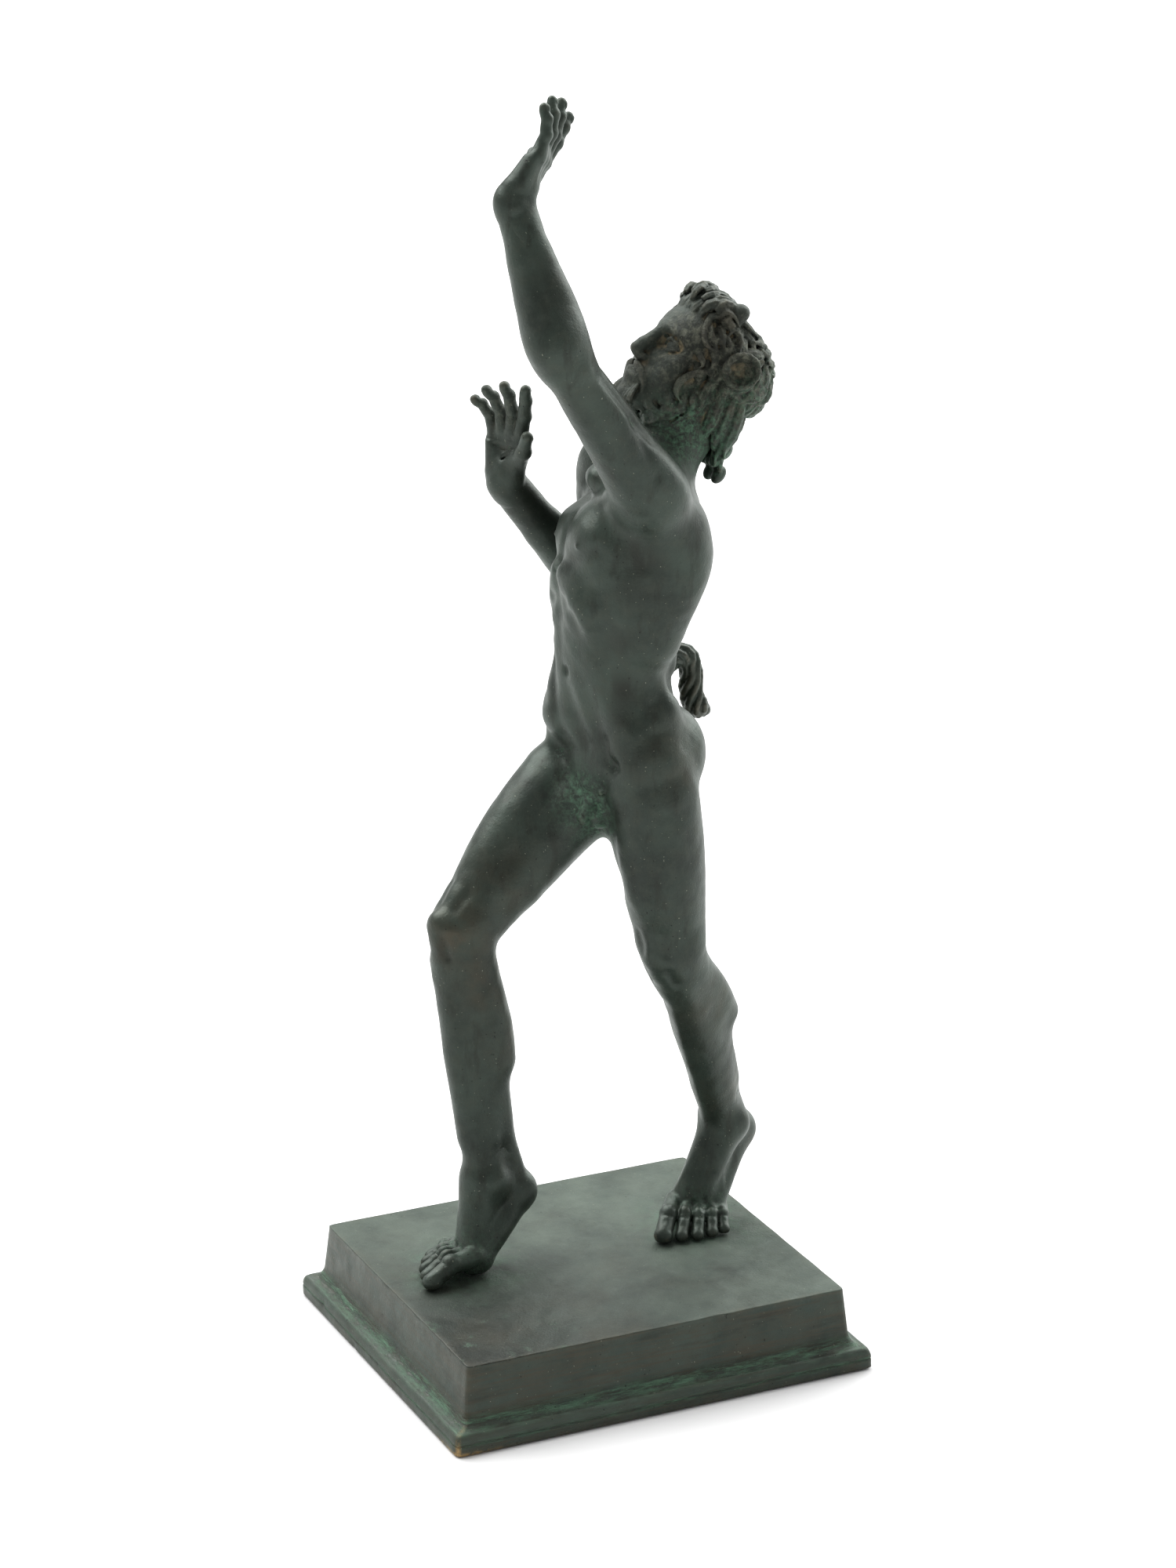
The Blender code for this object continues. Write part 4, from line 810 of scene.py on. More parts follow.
def hand(clay, s):
    """An open hand with spread, gently bent fingers, knuckles, tendons, creases and nails."""
    way = HAND_WAY[s]
    palm = unit(PALM_WAY[s] - way * (PALM_WAY[s] @ way))
    thumb = np.cross(palm, way) * s
    wrist = WRIST[s]
    clay.muscle(wrist - way * 0.5, wrist + way * 3.5, 3.3, 3.3, 2, flat=(palm, 0.85))
    for across, wide in ((3.1, 2.3), (1.0, 2.3), (-1.1, 2.2), (-3.1, 2.1)):
        start = wrist + way * 2.5 + thumb * across * 0.6
        clay.muscle(start, wrist + way * 9.6 + thumb * across, wide, wide, 1.6, flat=(palm, 0.6))
    heel = wrist + palm * 0.8
    clay.muscle(heel + way * 2.4 + thumb * 2.0, heel + way * 6.6 + thumb * 3.8, 2.3, 1.9, 1.6)
    clay.muscle(heel + way * 2.4 - thumb * 2.4, heel + way * 7.6 - thumb * 3.2, 1.9, 1.6, 1.6)
    for i, (across, length, lean) in enumerate(FINGERS):
        fan = turned(way, palm, s * lean)
        point = wrist + way * (10.2 - 0.4 * i) + thumb * across
        radius = 1.42 - 0.06 * i
        clay.press([wrist + way * 3.5 + thumb * across * 0.5 - palm * 2.0, point - palm * 1.5], 0.6, -0.22)
        clay.egg(point - palm * 0.45 - way * 0.2, (1.25, 1.25, 1.15), (way, thumb, palm), 0.7)
        web = point - way * 0.4 + palm * 1.9
        clay.press([web - thumb, web + thumb], 0.45, 0.3)
        for part, (share, turn) in enumerate(((0.42, 0.3), (0.32, 1.1), (0.235, 1.9))):
            bent = turned(fan, thumb, -CURLS[s][i] * turn * s)
            inner = unit(np.cross(bent, thumb) * s)
            end = point + bent * length * share
            clay.muscle(point, end, radius, radius * 0.9, 0.5)
            pad = inner * 0.25
            low, high = mix(point, end, 0.3) + pad, mix(point, end, 0.7) + pad
            clay.muscle(low, high, radius * 0.9, radius * 0.86, 0.4)
            if part == 2:
                nail(clay, mix(point, end, 0.85) - inner * radius * 0.72, bent, -inner, radius * 0.86)
                continue
            clay.egg(end - inner * 0.1, np.multiply((0.95, 0.92, 0.88), radius), (bent, thumb, inner), 0.5)
            clay.press([end + inner * 1.4 - thumb, end + inner * 1.4 + thumb], 0.3, 0.26)
            for shift in (-0.35, 0.2):
                crease = end - inner * 1.25 + bent * shift
                clay.press([crease - thumb * 0.6, crease + thumb * 0.6], 0.24, 0.06)
            point, radius = end, radius * 0.9
    point = heel + way * 4.6 + thumb * 3.4
    for part, (length, lean, thick) in enumerate(((5.0, 42, 1.75), (4.6, 30, 1.45))):
        bent = unit(turned(way, palm, s * lean) + palm * 0.3)
        end = point + bent * length
        clay.muscle(point, end, thick, thick * 0.84, 0.8)
        back = unit(-palm - bent * (-palm @ bent))
        if part == 0:
            clay.egg(end + back * 0.2, (1.45, 1.4, 1.35), (bent, np.cross(bent, back), back), 0.5)
        else:
            nail(clay, mix(point, end, 0.82) + back * thick * 0.68, bent, back, 1.25)
        point = end
    # The lines of the palm, as (towards the fingers, towards the thumb), and the crease of the wrist
    deep = wrist + palm * 1.6
    for line, width, depth in ((((8.4, 3.6), (7.2, 0.5), (7.8, -3.2)), 0.5, 0.4),
                               (((7.6, 3.4), (5.0, 0.8), (2.2, 0.4)), 0.55, 0.5)):
        clay.press([deep + way * ahead + thumb * across for ahead, across in line], width, depth)
    crease = wrist + palm * 2.6 + way * 0.8
    clay.press([crease - thumb * 2.4, crease + thumb * 2.4], 0.4, 0.3)
    clay.egg(wrist - thumb * 2.5 - palm * 1.4 - way * 1.2, (1.3, 1.2, 1.4), (thumb, palm, way), 1.2)


def foot(clay, s):
    """A foot on its ball with the heel raised, and five toes gripping the plinth."""
    way, rise = TOE_WAY[s], vec(0, 0, 1)
    out = np.cross(rise, way) * s
    ball, heel, ankle = BALL[s], HEEL[s], ANKLE[s]
    fine = clay.step < BODY_STEP
    clay.muscle(heel, mix(heel, ankle, 0.6), 3.9, 4.0, 2)
    clay.muscle(ankle + way * 0.6, ball + rise * 0.6, 4.4, 3.0, 2.5)
    clay.muscle(ankle + way * 1.2, ball - out * 2.4 + rise * 1.0, 3.6, 2.7, 2)
    clay.muscle(heel, ball - out * 2.8 - way * 0.8, 3.9, 3.0, 2)
    clay.muscle(heel + out * 0.6, ball + out * 3.4 - rise * 0.8, 3.2, 2.2, 2)
    for across, size in ((-3.4, 2.7), (0.0, 2.3), (3.2, 2.1)):
        pad = ball + out * across - rise * 1.0
        clay.muscle(pad, pad + way * 1.4 - rise * 0.2, size, size * 0.9, 1.6)
    for i, (length, across) in enumerate(((10.6, -4.3), (10.2, -1.5), (9.4, 0.9), (8.2, 3.1), (6.8, 5.0))):
        radius = 1.95 if i == 0 else 1.5 - 0.07 * i
        fan = turned(way, rise, s * (4.5 * i - 7.0))
        root = ball + out * across + way * (0.8 - 0.45 * i) + rise * (0.6 - 0.35 * i)
        bend = root + fan * length * 0.55 + rise * (0.1 if i else -0.4)
        tip = root + fan * length
        tip[2] = radius * 0.62
        clay.muscle(root, bend, radius * 1.15, radius * 0.96, 0.45 if fine else 0.8)
        clay.muscle(bend, tip, radius * 0.96, radius * 0.9, 0.3 if fine else 0.6)
        if not fine:
            continue
        axes = (fan, out, rise)
        tendon = [mix(ankle, root, 0.25) + rise * 4.2 + way * 2.0, root + rise * radius * 1.2]
        clay.press(tendon, 0.65, -0.3)
        clay.egg(bend + rise * radius * 0.25, np.multiply((1.02, 0.98, 0.92), radius), axes, 0.3)
        joint = mix(bend, tip, 0.45) + rise * radius * 0.95
        clay.press([joint - out, joint + out], 0.28, 0.22)
        clay.egg(tip - rise * 0.1, np.multiply((0.98, 1.0, 0.86), radius), axes, 0.3)
        plate = tip + rise * radius * 0.66 - fan * 0.1
        nail(clay, plate, unit(fan - rise * 0.35), unit(rise + fan * 0.35), radius * 0.85)
    if fine:
        for across in (-2.9, -0.3, 2.0, 4.1):
            gap = ball + out * across + way * (3.0 - 0.3 * across)
            clay.press([gap + rise * 1.8, gap + way * 3.0 + rise * 1.2], 0.5, 0.35)


def body_details(clay):
    """Nipples, ribs, hip crests, shoulder blades, knees, elbows, navel and the knuckles of the spine."""
    for s in (1, -1):
        hip, rib = Half(clay, pelvis, s), Half(clay, chest, s)
        nipple = rib.skin([(7.6, 2, -1.4)], (0.25, 1, 0))[0]
        clay.press([nipple, nipple + chest.left * 0.1], 1.25, -0.14)
        clay.egg(nipple, (0.55, 0.5, 0.55), chest.axes, 0.3)
        for i in range(4):
            ends = rib.skin([(6, -1 + 1.2 * i, -5 - 2.9 * i)], (1, 0, 0))
            ends += rib.skin([(6, 3.6 + i, -7.2 - 3.1 * i)], (1, 0.5, 0))
            clay.press(ends, 1.6, -0.26)
        for i in range(3):
            ends = rib.skin([(5, -5.5, -6 - 3.4 * i)], (1, -0.5, 0))
            ends += rib.skin([(5, -0.5, -8.2 - 3.4 * i)], (1, 0, 0))
            clay.press(ends, 1.3, 0.12)
        arch = rib.skin([(1.2, 2, -8.5), (4.2, 2, -12), (8, 2, -15.2)], (0, 1, 0))
        clay.press([p - chest.up * 1.6 for p in arch], 1.6, 0.35)
        crest = []
        for *place, turn in ((6, 2.5, 8.6, 1), (6, 0.5, 10.4, 0.4), (6, -2, 11.4, -0.2), (4, -5, 10.8, -1)):
            crest += hip.skin([place], (1, turn, 0))
        clay.press(crest, 1.8, 0.25)
        clay.press([p - pelvis.up * 3 for p in crest], 1.8, -0.15)
        dimple = hip.skin([(3.9, -2, 3.6)], (0, -1, 0))[0]
        clay.press([dimple, dimple + pelvis.left * 0.1], 1.5, 0.55)
        clay.press(hip.skin([(2.5, -2, -12.5), (6.5, -2, -12.9), (10.5, -2, -11)], (0, -1, 0)), 1.3, 0.55)
        clay.press(rib.skin([(4.4, -2, 7.5), (4.6, -2, 0), (7.6, -2, -6)], (0, -1, 0)), 1.5, 0.55)
        thigh, shin = leg_parts(s)
        for side in (-2.7, 2.7):
            shin.press(clay, (0, 6.6, side), (0.07, 5.6, side), 1.1, 0.55)
            thigh.press(clay, (0.86, 6.6, side * 1.1), (0.95, 6.6, side), 1.2, 0.35)
            shin.press(clay, (0.66, -2.4, side), (0.95, -1.8, side), 1.4, 0.5)
        shin.press(clay, (0.1, 5.2, 0.2), (0.8, 4.3, -0.3), 0.9, -0.2)
        shin.press(clay, (0, -4.6, -2), (0, -4.6, 2), 1.3, 0.4)
        upper, lower = arm_parts(s)
        upper.press(clay, (0.16, -3.6, 4.6), (0.45, -0.8, 4.9), 1.3, 0.4)
        lower.press(clay, (0.1, -3.8, 2.4), (0.8, -2.8, 0.8), 1.1, 0.3)
        lower.press(clay, (0.05, 4.6, -1.6), (0.05, 4.6, 1.8), 0.9, 0.35)
    navel = clay.skin(chest.at(0, 2, -27), chest.front)
    clay.press([navel, navel + chest.up * 0.5], 0.75, 1.1)
    for i in range(10):
        knot = clay.skin(chest.at(0, -2, 3.4 * i - 24), -chest.front)
        clay.press([knot, knot + chest.up * 0.7], 1.5, -0.42)


def loins(clay):
    """A small patch of curls and the parts below it."""
    rng = np.random.default_rng(3)
    for i in range(16):
        a = 2.4 * i
        place = pelvis.at(3.1 * math.sin(a) * (0.4 + 0.6 * (i % 3) / 2), 10.0, -8.2 + 1.7 * math.cos(a))
        bend = vec(*rng.uniform(-0.9, 0.9, 3))
        clay.muscle(place, place + bend, 0.85, 0.6, 0.25)
    for s in (1, -1):
        clay.egg(pelvis.at(1.25 * s, 9.9, -13.2), (1.65, 1.85, 2.5), pelvis.axes, 0.5)
    clay.muscle(pelvis.at(0, 10.8, -10.0), pelvis.at(-0.4, 12.6, -13.0), 1.25, 1.05, 0.4)
    clay.muscle(pelvis.at(-0.4, 12.4, -12.6), pelvis.at(-0.45, 12.9, -13.8), 1.1, 0.6, 0.2)


# The line of the tail in figure units, and its radii along it
TAIL_ROUTE = np.array((
    (-8.6, 15.5, 115.0), (-9.4, 20.5, 118.0), (-10.0, 24.3, 120.8), (-10.4, 27.8, 120.6),
    (-10.2, 28.9, 117.0), (-9.4, 28.2, 113.2), (-9.2, 29.4, 109.8), (-10.0, 32.0, 108.6),
))
TAIL_RADII = (3.2, 2.8, 2.6, 2.5, 2.4, 2.5, 2.6, 1.5)


def tail(clay):
    """A short thick tail of twisted hair that leaves the small of the back and curls down to a tuft."""
    route, spot = smooth_line(TAIL_ROUTE, 29)
    radii = np.interp(spot, range(len(TAIL_RADII)), TAIL_RADII)
    for a, b, ra, rb in zip(route[:-1], route[1:], radii[:-1], radii[1:]):
        clay.muscle(a, b, ra * 0.66, rb * 0.66, 0.8)
    side = vec(1, 0, 0)
    last_row = len(route) - 1
    for j in range(7):
        last = None
        for i in range(2, len(route)):
            axis = unit(route[min(i + 1, last_row)] - route[i - 1])
            side = unit(side - axis * (side @ axis))
            a = 2 * math.pi * j / 7 + 0.24 * i + 0.3 * math.sin(0.8 * i + j)
            share = 0.70 if i < last_row - 2 else 0.5
            point = route[i] + (side * math.cos(a) + np.cross(axis, side) * math.sin(a)) * radii[i] * share
            if last is not None:
                clay.muscle(last, point, 0.78, 0.78 if i < last_row - 1 else 0.5, 0.1)
            last = point


def base(low, high, step):
    """Trunk, neck and limbs, the same forms in every piece that meets them."""
    clay = Clay(low, high, step)
    for s in (1, -1):
        leg(clay, s)
    trunk(clay)
    neck(clay)
    for s in (1, -1):
        arm(clay, s)
        foot(clay, s)
    return clay


# Where head and body meet, as a point and the way up, and where the figure's own zero lies
NECK_SEAM = (vec(-5.2, 22.5, 169.5), unit(vec(0.05, 0.375, 0.93)))
ORIGIN = vec(0, 0, (PLINTH_HEIGHT + SEAT_GAP) / UNIT)


def wrist_seam(s):
    return WRIST[s] - HAND_WAY[s] * 4.5, HAND_WAY[s]


def ankle_seam(s):
    return ANKLE[s] + vec(0, 0, 5.5), vec(0, 0, -1.0)


def around(point, reach):
    return point - reach, point + reach


def body_clay():
    clay = base((-46, -42, -1), (26, 50, 240), BODY_STEP)
    clay.muscle(TAIL_ROUTE[0] - vec(0, 3, 1), mix(TAIL_ROUTE[0], TAIL_ROUTE[1], 0.7), 3.2, 2.4, 2.5)
    loins(clay)
    body_details(clay)
    clay.waver(UNEVENNESS)
    clay.finish_at(*NECK_SEAM, (-20, 12, 163), (10, 48, 202))
    for s in (1, -1):
        point, way = wrist_seam(s)
        clay.finish_at(point, way, *around(WRIST[s], 6.5))
        point, way = ankle_seam(s)
        high = vec(BALL[s][0] + 16, HEEL[s][1] + 12, point[2] + 2)
        clay.finish_at(point, way, BALL[s] - vec(20, 20, 6), high)
    return clay


def head_clay():
    clay = Clay((-24, 3, 152), (14, 51, 206), HEAD_STEP)
    trunk(clay)
    neck(clay)
    clay.waver(UNEVENNESS)
    clay.finish_at(NECK_SEAM[0], -NECK_SEAM[1])
    skull(clay)
    face(clay)
    beard(clay)
    hair(clay)
    for s in (1, -1):
        ear(clay, s)
        horn(clay, s)
    return clay


def hand_clay(s):
    middle = WRIST[s] + HAND_WAY[s] * 8
    clay = Clay(middle - 16, np.minimum(middle + 16, (99, 99, 240)), HAND_STEP)
    arm(clay, s)
    hand(clay, s)
    clay.waver(UNEVENNESS)
    point, way = wrist_seam(s)
    clay.finish_at(point, -way)
    return clay


def foot_clay(s):
    point, way = ankle_seam(s)
    low = np.minimum(BALL[s], HEEL[s]) - vec(13, 16, 0)
    high = np.maximum(BALL[s], HEEL[s]) + vec(13, 14, 0)
    low[2], high[2] = -1, point[2] + 2
    clay = base(low, high, FOOT_STEP)
    clay.waver(UNEVENNESS)
    clay.finish_at(point, -way)
    return clay


def tail_clay():
    clay = Clay((-19, 10, 102), (0, 38, 128), TAIL_STEP)
    tail(clay)
    return clay


def cut_level(clay):
    """Ends the soles level, on the plinth."""
    heights = clay.low[2] + clay.step * np.arange(clay.size[2])
    clay.value = np.maximum(clay.value, -heights.astype(np.float32))


# Where patina differs, and where shade is painted: centre x, y, z in figure units, reach, strength
GREEN_PLACES = (
    (1.5, 22, 171, 6, 0.9), (-3, 30, 166.5, 6, 1), (3, 27, 163, 4, 0.6), (-8.6, 15.5, 115, 5.5, 1),
    (7, 18, 170, 5, 0.6), (-9, 20.5, 117.5, 3, 0.8), (-3.5, 3, 96.5, 5, 0.9), (-2, 6, 90, 4.5, 0.6),
    (-5, -22, 1, 6, 0.7), (-6, 29, 0.5, 6, 0.5), (-10, 3, 139, 4, 0.35), (-6, 24, 152, 5, 0.5),
    (4.5, 18.5, 74, 5, 0.3), (6, 33, 176, 6, 0.5), (-4, 38, 176, 7, 0.6),
)
BROWN_PLACES = (
    (-6, -24, 71, 6, 0.9), (-7, -14, 80, 7, 0.5), (-6, -19, 60, 5, 0.7), (-5, -14, 48, 6, 0.4),
    (4, 26, 52, 6, 0.5), (-4, 33, 30, 5, 0.6), (12, -8, 186, 6, 0.3), (-10, 29, 113, 6, 0.5),
    (-12, 41, 14, 4, 0.8), (6, 27, 191, 3.5, 1), (9, 15, 106, 6, 0.5),
)
# Painted shade: the left flank, the raised left arm and the right shoulder are darkened where shade falls
PAINTED_SHADE_PLACES = (
    (9, 8, 152, 3.2, 0.9), (9.4, 8.4, 147.5, 3.2, 1), (8, 7, 141, 3.6, 0.8), (6.5, 6, 131, 3.6, 0.7),
    (6.5, 6, 121, 3.4, 0.9), (7, 5, 115, 3, 0.6), (8, 7, 107, 3.6, 0.5), (11, -3, 192, 5, 0.7),
    (12, 3, 181, 6.5, 0.8), (11.5, -9, 203, 7, 0.6), (2, -6, 88, 6, 0.5), (7.5, 15, 88, 4, 0.35),
    (-24, 2, 155, 8, 0.6),
)
OCHRE_PLACES = (
    (3, 22, 186, 7.5, 1), (5, 30, 181, 8, 0.9), (-12, 26, 184, 7, 0.4), (-6, 12, 180, 6, 0.5),
    (-27, -4, 172, 6, 0.4), (2, 36, 180, 11, 0.55), (4, 20, 172, 6, 0.4),
)

# Tones of the patina's layers; some of them also paint shade, a highlight on edges and a sheen
TONES = {
    "mottle": (0.042, 0.047, 0.035, 1),
    "dark_streak_and_shade": (0.0085, 0.0080, 0.0055, 1),
    "dust_and_sheen": (0.078, 0.098, 0.078, 1),
    "under_dirt": (0.019, 0.018, 0.014, 1),
    "chalk": (0.122, 0.126, 0.094, 1),
    "hollow": (0.0075, 0.0090, 0.0065, 1),
    "worn_and_highlight": (0.105, 0.092, 0.066, 1),
    "green": (0.100, 0.205, 0.128, 1),
    "ochre": (0.290, 0.230, 0.135, 1),
    "bare": (0.42, 0.27, 0.11, 1),
    "speck": (0.25, 0.26, 0.20, 1),
    "pit": (0.006, 0.006, 0.005, 1),
}
# Each finish's darker and lighter ground and its rubbed brown
FIGURE_TONES = ((0.015, 0.020, 0.016, 1), (0.032, 0.044, 0.035, 1), (0.048, 0.034, 0.019, 1))
PLINTH_TONES = ((0.018, 0.027, 0.022, 1), (0.035, 0.050, 0.041, 1), (0.044, 0.036, 0.023, 1))

# How far the plinth's top is worn down, in metres, and its sides drawn in, as a share
TOP_WEAR = 0.00004
SIDE_WEAR = 0.0009

# Knocks along the plinth's edges: x, y, z, reach and depth in millimetres
KNOCKS = (
    (-29.0, -45.3, 2.6, 1.0, 0.5), (40.4, -45.3, 1.0, 1.1, 0.45), (-12.0, -45.3, 0.6, 0.7, 0.3),
    (36.2, -41.0, 16.4, 0.9, 0.25), (40.4, 22.0, 0.8, 0.8, 0.3), (36.2, 12.0, 16.4, 0.7, 0.2),
)


def patches(points, places):
    total = np.zeros(len(points))
    for *centre, reach, strength in places:
        away = np.sum((points - np.array(centre)) ** 2, axis=1)
        total += strength * np.exp(-away / reach**2)
    return np.clip(total, 0, 1)


def relief(clay, points, reach):
    """How far the surface stands out (above zero) or lies in a hollow, within a reach."""
    total = np.zeros(len(points))
    ways = sphere(14)
    for way in ways:
        total += clay.read(points + way * reach)
    return total / len(ways) / reach


def add_marks(mesh, marks):
    for name, values in marks.items():
        data = mesh.attributes.new(name, "FLOAT", "POINT").data
        data.foreach_set("value", np.ascontiguousarray(values, np.float32))


def thinned(mesh):
    """The mesh with fewer faces where it is flat, if it has more than a piece may have."""
    ratio = MOST_TRIANGLES / (2 * len(mesh.polygons))
    if ratio > 1:
        return mesh
    carrier = bpy.data.objects.new("carrier", mesh)
    bpy.context.scene.collection.objects.link(carrier)
    carrier.modifiers.new("thin", "DECIMATE").ratio = ratio
    made = bpy.data.meshes.new_from_object(carrier.evaluated_get(bpy.context.evaluated_depsgraph_get()))
    bpy.data.objects.remove(carrier)
    return made


def cast_piece(name, clay, finish):
    """The clay's surface as an object in place, with its hollows, ridges and patina marked on its points."""
    cut_level(clay)
    grid = openvdb.FloatGrid(FAR)
    grid.copyFromArray(clay.value)
    places, quads = grid.convertToQuads(0.0)
    mesh = bpy.data.meshes.new(name)
    mesh.from_pydata(places * clay.step + clay.low, [], quads)
    mesh = thinned(mesh)
    mesh.name = name
    points = np.empty(3 * len(mesh.vertices))
    mesh.vertices.foreach_get("co", points)
    points = points.reshape(-1, 3)
    mesh.vertices.foreach_set("co", ((points + ORIGIN) * UNIT).ravel())
    mesh.shade_smooth()
    near, far = relief(clay, points, NEAR_RELIEF), relief(clay, points, FAR_RELIEF)
    # The hollow mark gives painted shade in creases and also places green crust and dirt there; the dark mark
    # gives painted shade where listed; the ridge mark gives worn edges that also paint a highlight
    add_marks(mesh, {
        "hollow": np.clip(-near * 5.0, 0, 1) * 0.6 + np.clip(-far * 3.5 + 0.1, 0, 1) * 0.6,
        "ridge": np.clip((near - 0.16) * 4.0, 0, 1),
        "green": patches(points, GREEN_PLACES),
        "brown": patches(points, BROWN_PLACES),
        "dark": patches(points, PAINTED_SHADE_PLACES),
        "ochre": patches(points, OCHRE_PLACES),
    })
    made = bpy.data.objects.new(name, mesh)
    bpy.context.scene.collection.objects.link(made)
    mesh.materials.append(finish)
    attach(made, "root")
    return made


class Finish:
    """A material under construction, one call for each node."""

    def __init__(self, name):
        self.material = bpy.data.materials.new(name)
        self.material.use_nodes = True
        self.tree = self.material.node_tree
        self.shader = self.tree.nodes["Principled BSDF"]

    def node(self, kind, inputs=None, **settings):
        made = self.tree.nodes.new("ShaderNode" + kind)
        for key, value in settings.items():
            setattr(made, key, value)
        for key, value in (inputs or {}).items():
            self.feed(made.inputs[key], value)
        return made

    def feed(self, socket, value):
        if isinstance(value, bpy.types.NodeSocket):
            self.tree.links.new(value, socket)
        else:
            socket.default_value = value

    def mark(self, name):
        return self.node("Attribute", attribute_name=name).outputs["Fac"]

    def math(self, operation, a, b=0.0, clamp=False):
        return self.node("Math", {0: a, 1: b}, operation=operation, use_clamp=clamp).outputs[0]

    def times(self, a, b):
        return self.math("MULTIPLY", a, b)

    def noise(self, size, detail=4.0, rough=0.55, stretch=(1, 1, 1)):
        """Noise whose features are this many millimetres across, stretched along the axes."""
        where = self.node("TexCoord").outputs["Object"]
        scale = tuple(1000.0 / size / s for s in stretch)
        where = self.node("Mapping", {"Vector": where, "Scale": scale}).outputs[0]
        inputs = {"Vector": where, "Scale": 1.0, "Detail": detail, "Roughness": rough}
        return self.node("TexNoise", inputs).outputs["Fac"]

    def ramp(self, value, low, high):
        """0 below low, 1 above high."""
        return self.node("MapRange", {"Value": value, "From Min": low, "From Max": high}).outputs[0]

    def blend(self, share, under, over):
        """Two colours mixed. The mixing node's sockets for colours are 6, 7 and 2."""
        return self.node("Mix", {0: share, 6: under, 7: over}, data_type="RGBA").outputs[2]

    def coat(self, share, most, tone):
        """Lays a tone over the colour so far, where share is 1 with at most this strength."""
        self.colour = self.blend(self.times(share, most), self.colour, tone)

    def bump(self, height, distance, strength, normal=None):
        inputs = {"Height": height, "Distance": distance, "Strength": strength}
        if normal is not None:
            inputs["Normal"] = normal
        return self.node("Bump", inputs).outputs[0]


def patina(name, tones, brushed=0.0):
    """Dark patinated bronze: mottled green-grey, brown where rubbed, pale green and dirt in the hollows, with
    painted shade in the hollows and in listed places, a painted highlight on worn edges and a painted sheen
    on the plinth's top.
    """
    made = Finish(name)
    dark, light, brown = tones
    times, ramp, noise = made.times, made.ramp, made.noise
    cloud, mottle, grain = noise(16.0, 5.0, 0.6), noise(2.6, 6.0, 0.65), noise(0.5, 3.0, 0.6)
    streak = noise(3.2, 4.0, 0.6, (5.0, 5.0, 0.7) if brushed else (1, 1, 3.4))
    crust = noise(1.1, 8.0, 0.75, (6.0, 6.0, 0.6) if brushed else (1, 1, 1))
    hollow, ridge, ochre, dust_and_sheen_mark = [made.mark(kind) for kind in ("hollow", "ridge", "ochre", "dust_and_sheen")]
    made.colour = made.blend(ramp(cloud, 0.38, 0.62), dark, light)
    made.coat(ramp(mottle, 0.46, 0.74), 0.5, TONES["mottle"])
    # Dark streaks in the patina, plus painted shade laid in streaks where the dark mark lists shaded places
    shaded = times(made.mark("dark"), ramp(streak, 0.24, 0.48))
    dark_streak_and_shade = made.math("MAXIMUM", times(ramp(streak, 0.54, 0.70), 0.6), shaded)
    made.coat(dark_streak_and_shade, 0.95, TONES["dark_streak_and_shade"])
    rubbed = times(made.mark("brown"), ramp(noise(5.0, 4.0), 0.3, 0.7))
    made.coat(rubbed, 0.9, brown)
    # Dust, and on the plinth's top a painted sheen that is lighter away from the front corner
    made.coat(times(dust_and_sheen_mark, ramp(noise(13.0, 7.0, 0.68), 0.28, 0.66)), 0.85, TONES["dust_and_sheen"])
    if brushed:
        lines = ramp(noise(1.0, 3.0, 0.6, (16.0, 16.0, 0.5)), 0.48, 0.66)
        made.coat(times(lines, made.math("SUBTRACT", 1.0, dust_and_sheen_mark, True)), brushed, brown)
    made.coat(ochre, 0.75, TONES["under_dirt"])
    made.coat(times(ochre, ramp(noise(1.5, 7.0, 0.72), 0.47, 0.63)), 0.9, TONES["chalk"])
    # Painted shade: the hollows darkened as shade would darken them
    made.coat(hollow, 0.5, TONES["hollow"])
    # Worn, lighter edges on the ridges, which also paint a highlight along them
    made.coat(times(ridge, ramp(mottle, 0.35, 0.7)), 0.5, TONES["worn_and_highlight"])
    stray = times(times(ramp(hollow, 0.45, 0.95), ramp(crust, 0.56, 0.68)), 0.55)
    green = made.math("MAXIMUM", times(made.mark("green"), ramp(crust, 0.44, 0.62)), stray)
    made.coat(green, 0.9, TONES["green"])
    dirt = times(times(ochre, ramp(hollow, 0.3, 0.85)), ramp(noise(1.8, 5.0), 0.42, 0.6))
    made.coat(dirt, 0.8, TONES["ochre"])
    bare = times(made.mark("bare"), ramp(noise(1.4, 5.0, 0.7), 0.40, 0.56))
    made.coat(bare, 1.0, TONES["bare"])
    made.coat(ramp(noise(0.42, 0.0), 0.82, 0.86), 0.45, TONES["speck"])
    pit = ramp(noise(0.55, 0.0), 0.175, 0.14)
    made.coat(pit, 0.8, TONES["pit"])
    crusty = made.math("MAXIMUM", green, dirt)
    rough = made.math("ADD", times(mottle, 0.26), 0.29)
    rough = made.math("ADD", rough, times(made.math("MAXIMUM", crusty, ochre), 0.15))
    rough = made.math("ADD", rough, times(dust_and_sheen_mark, 0.14))
    rough = made.math("SUBTRACT", rough, times(made.math("MAXIMUM", rubbed, bare), 0.10), True)
    normal = None
    # Height, its distance in metres and its strength
    for height, distance, strength in (
        (noise(6.0, 1.0, 0.5), 0.0009, 0.45),
        (mottle, 0.00022, 0.4),
        (grain, 0.00008, 0.6),
        (crusty, 0.0002, 0.7),
        (times(ochre, noise(1.7, 7.0, 0.7)), 0.0018, 0.8),
        (times(pit, -1.0), 0.0002, 0.7),
    ):
        normal = made.bump(height, distance, strength, normal)
    inputs = made.shader.inputs
    made.feed(inputs["Base Color"], made.colour)
    made.feed(inputs["Roughness"], rough)
    made.feed(inputs["Metallic"], made.math("ADD", times(bare, 0.6), 0.3))
    inputs["Specular IOR Level"].default_value = 0.36
    inputs["Specular Tint"].default_value = (0.91, 1.0, 0.93, 1)
    made.feed(inputs["Normal"], normal)
    return made.material


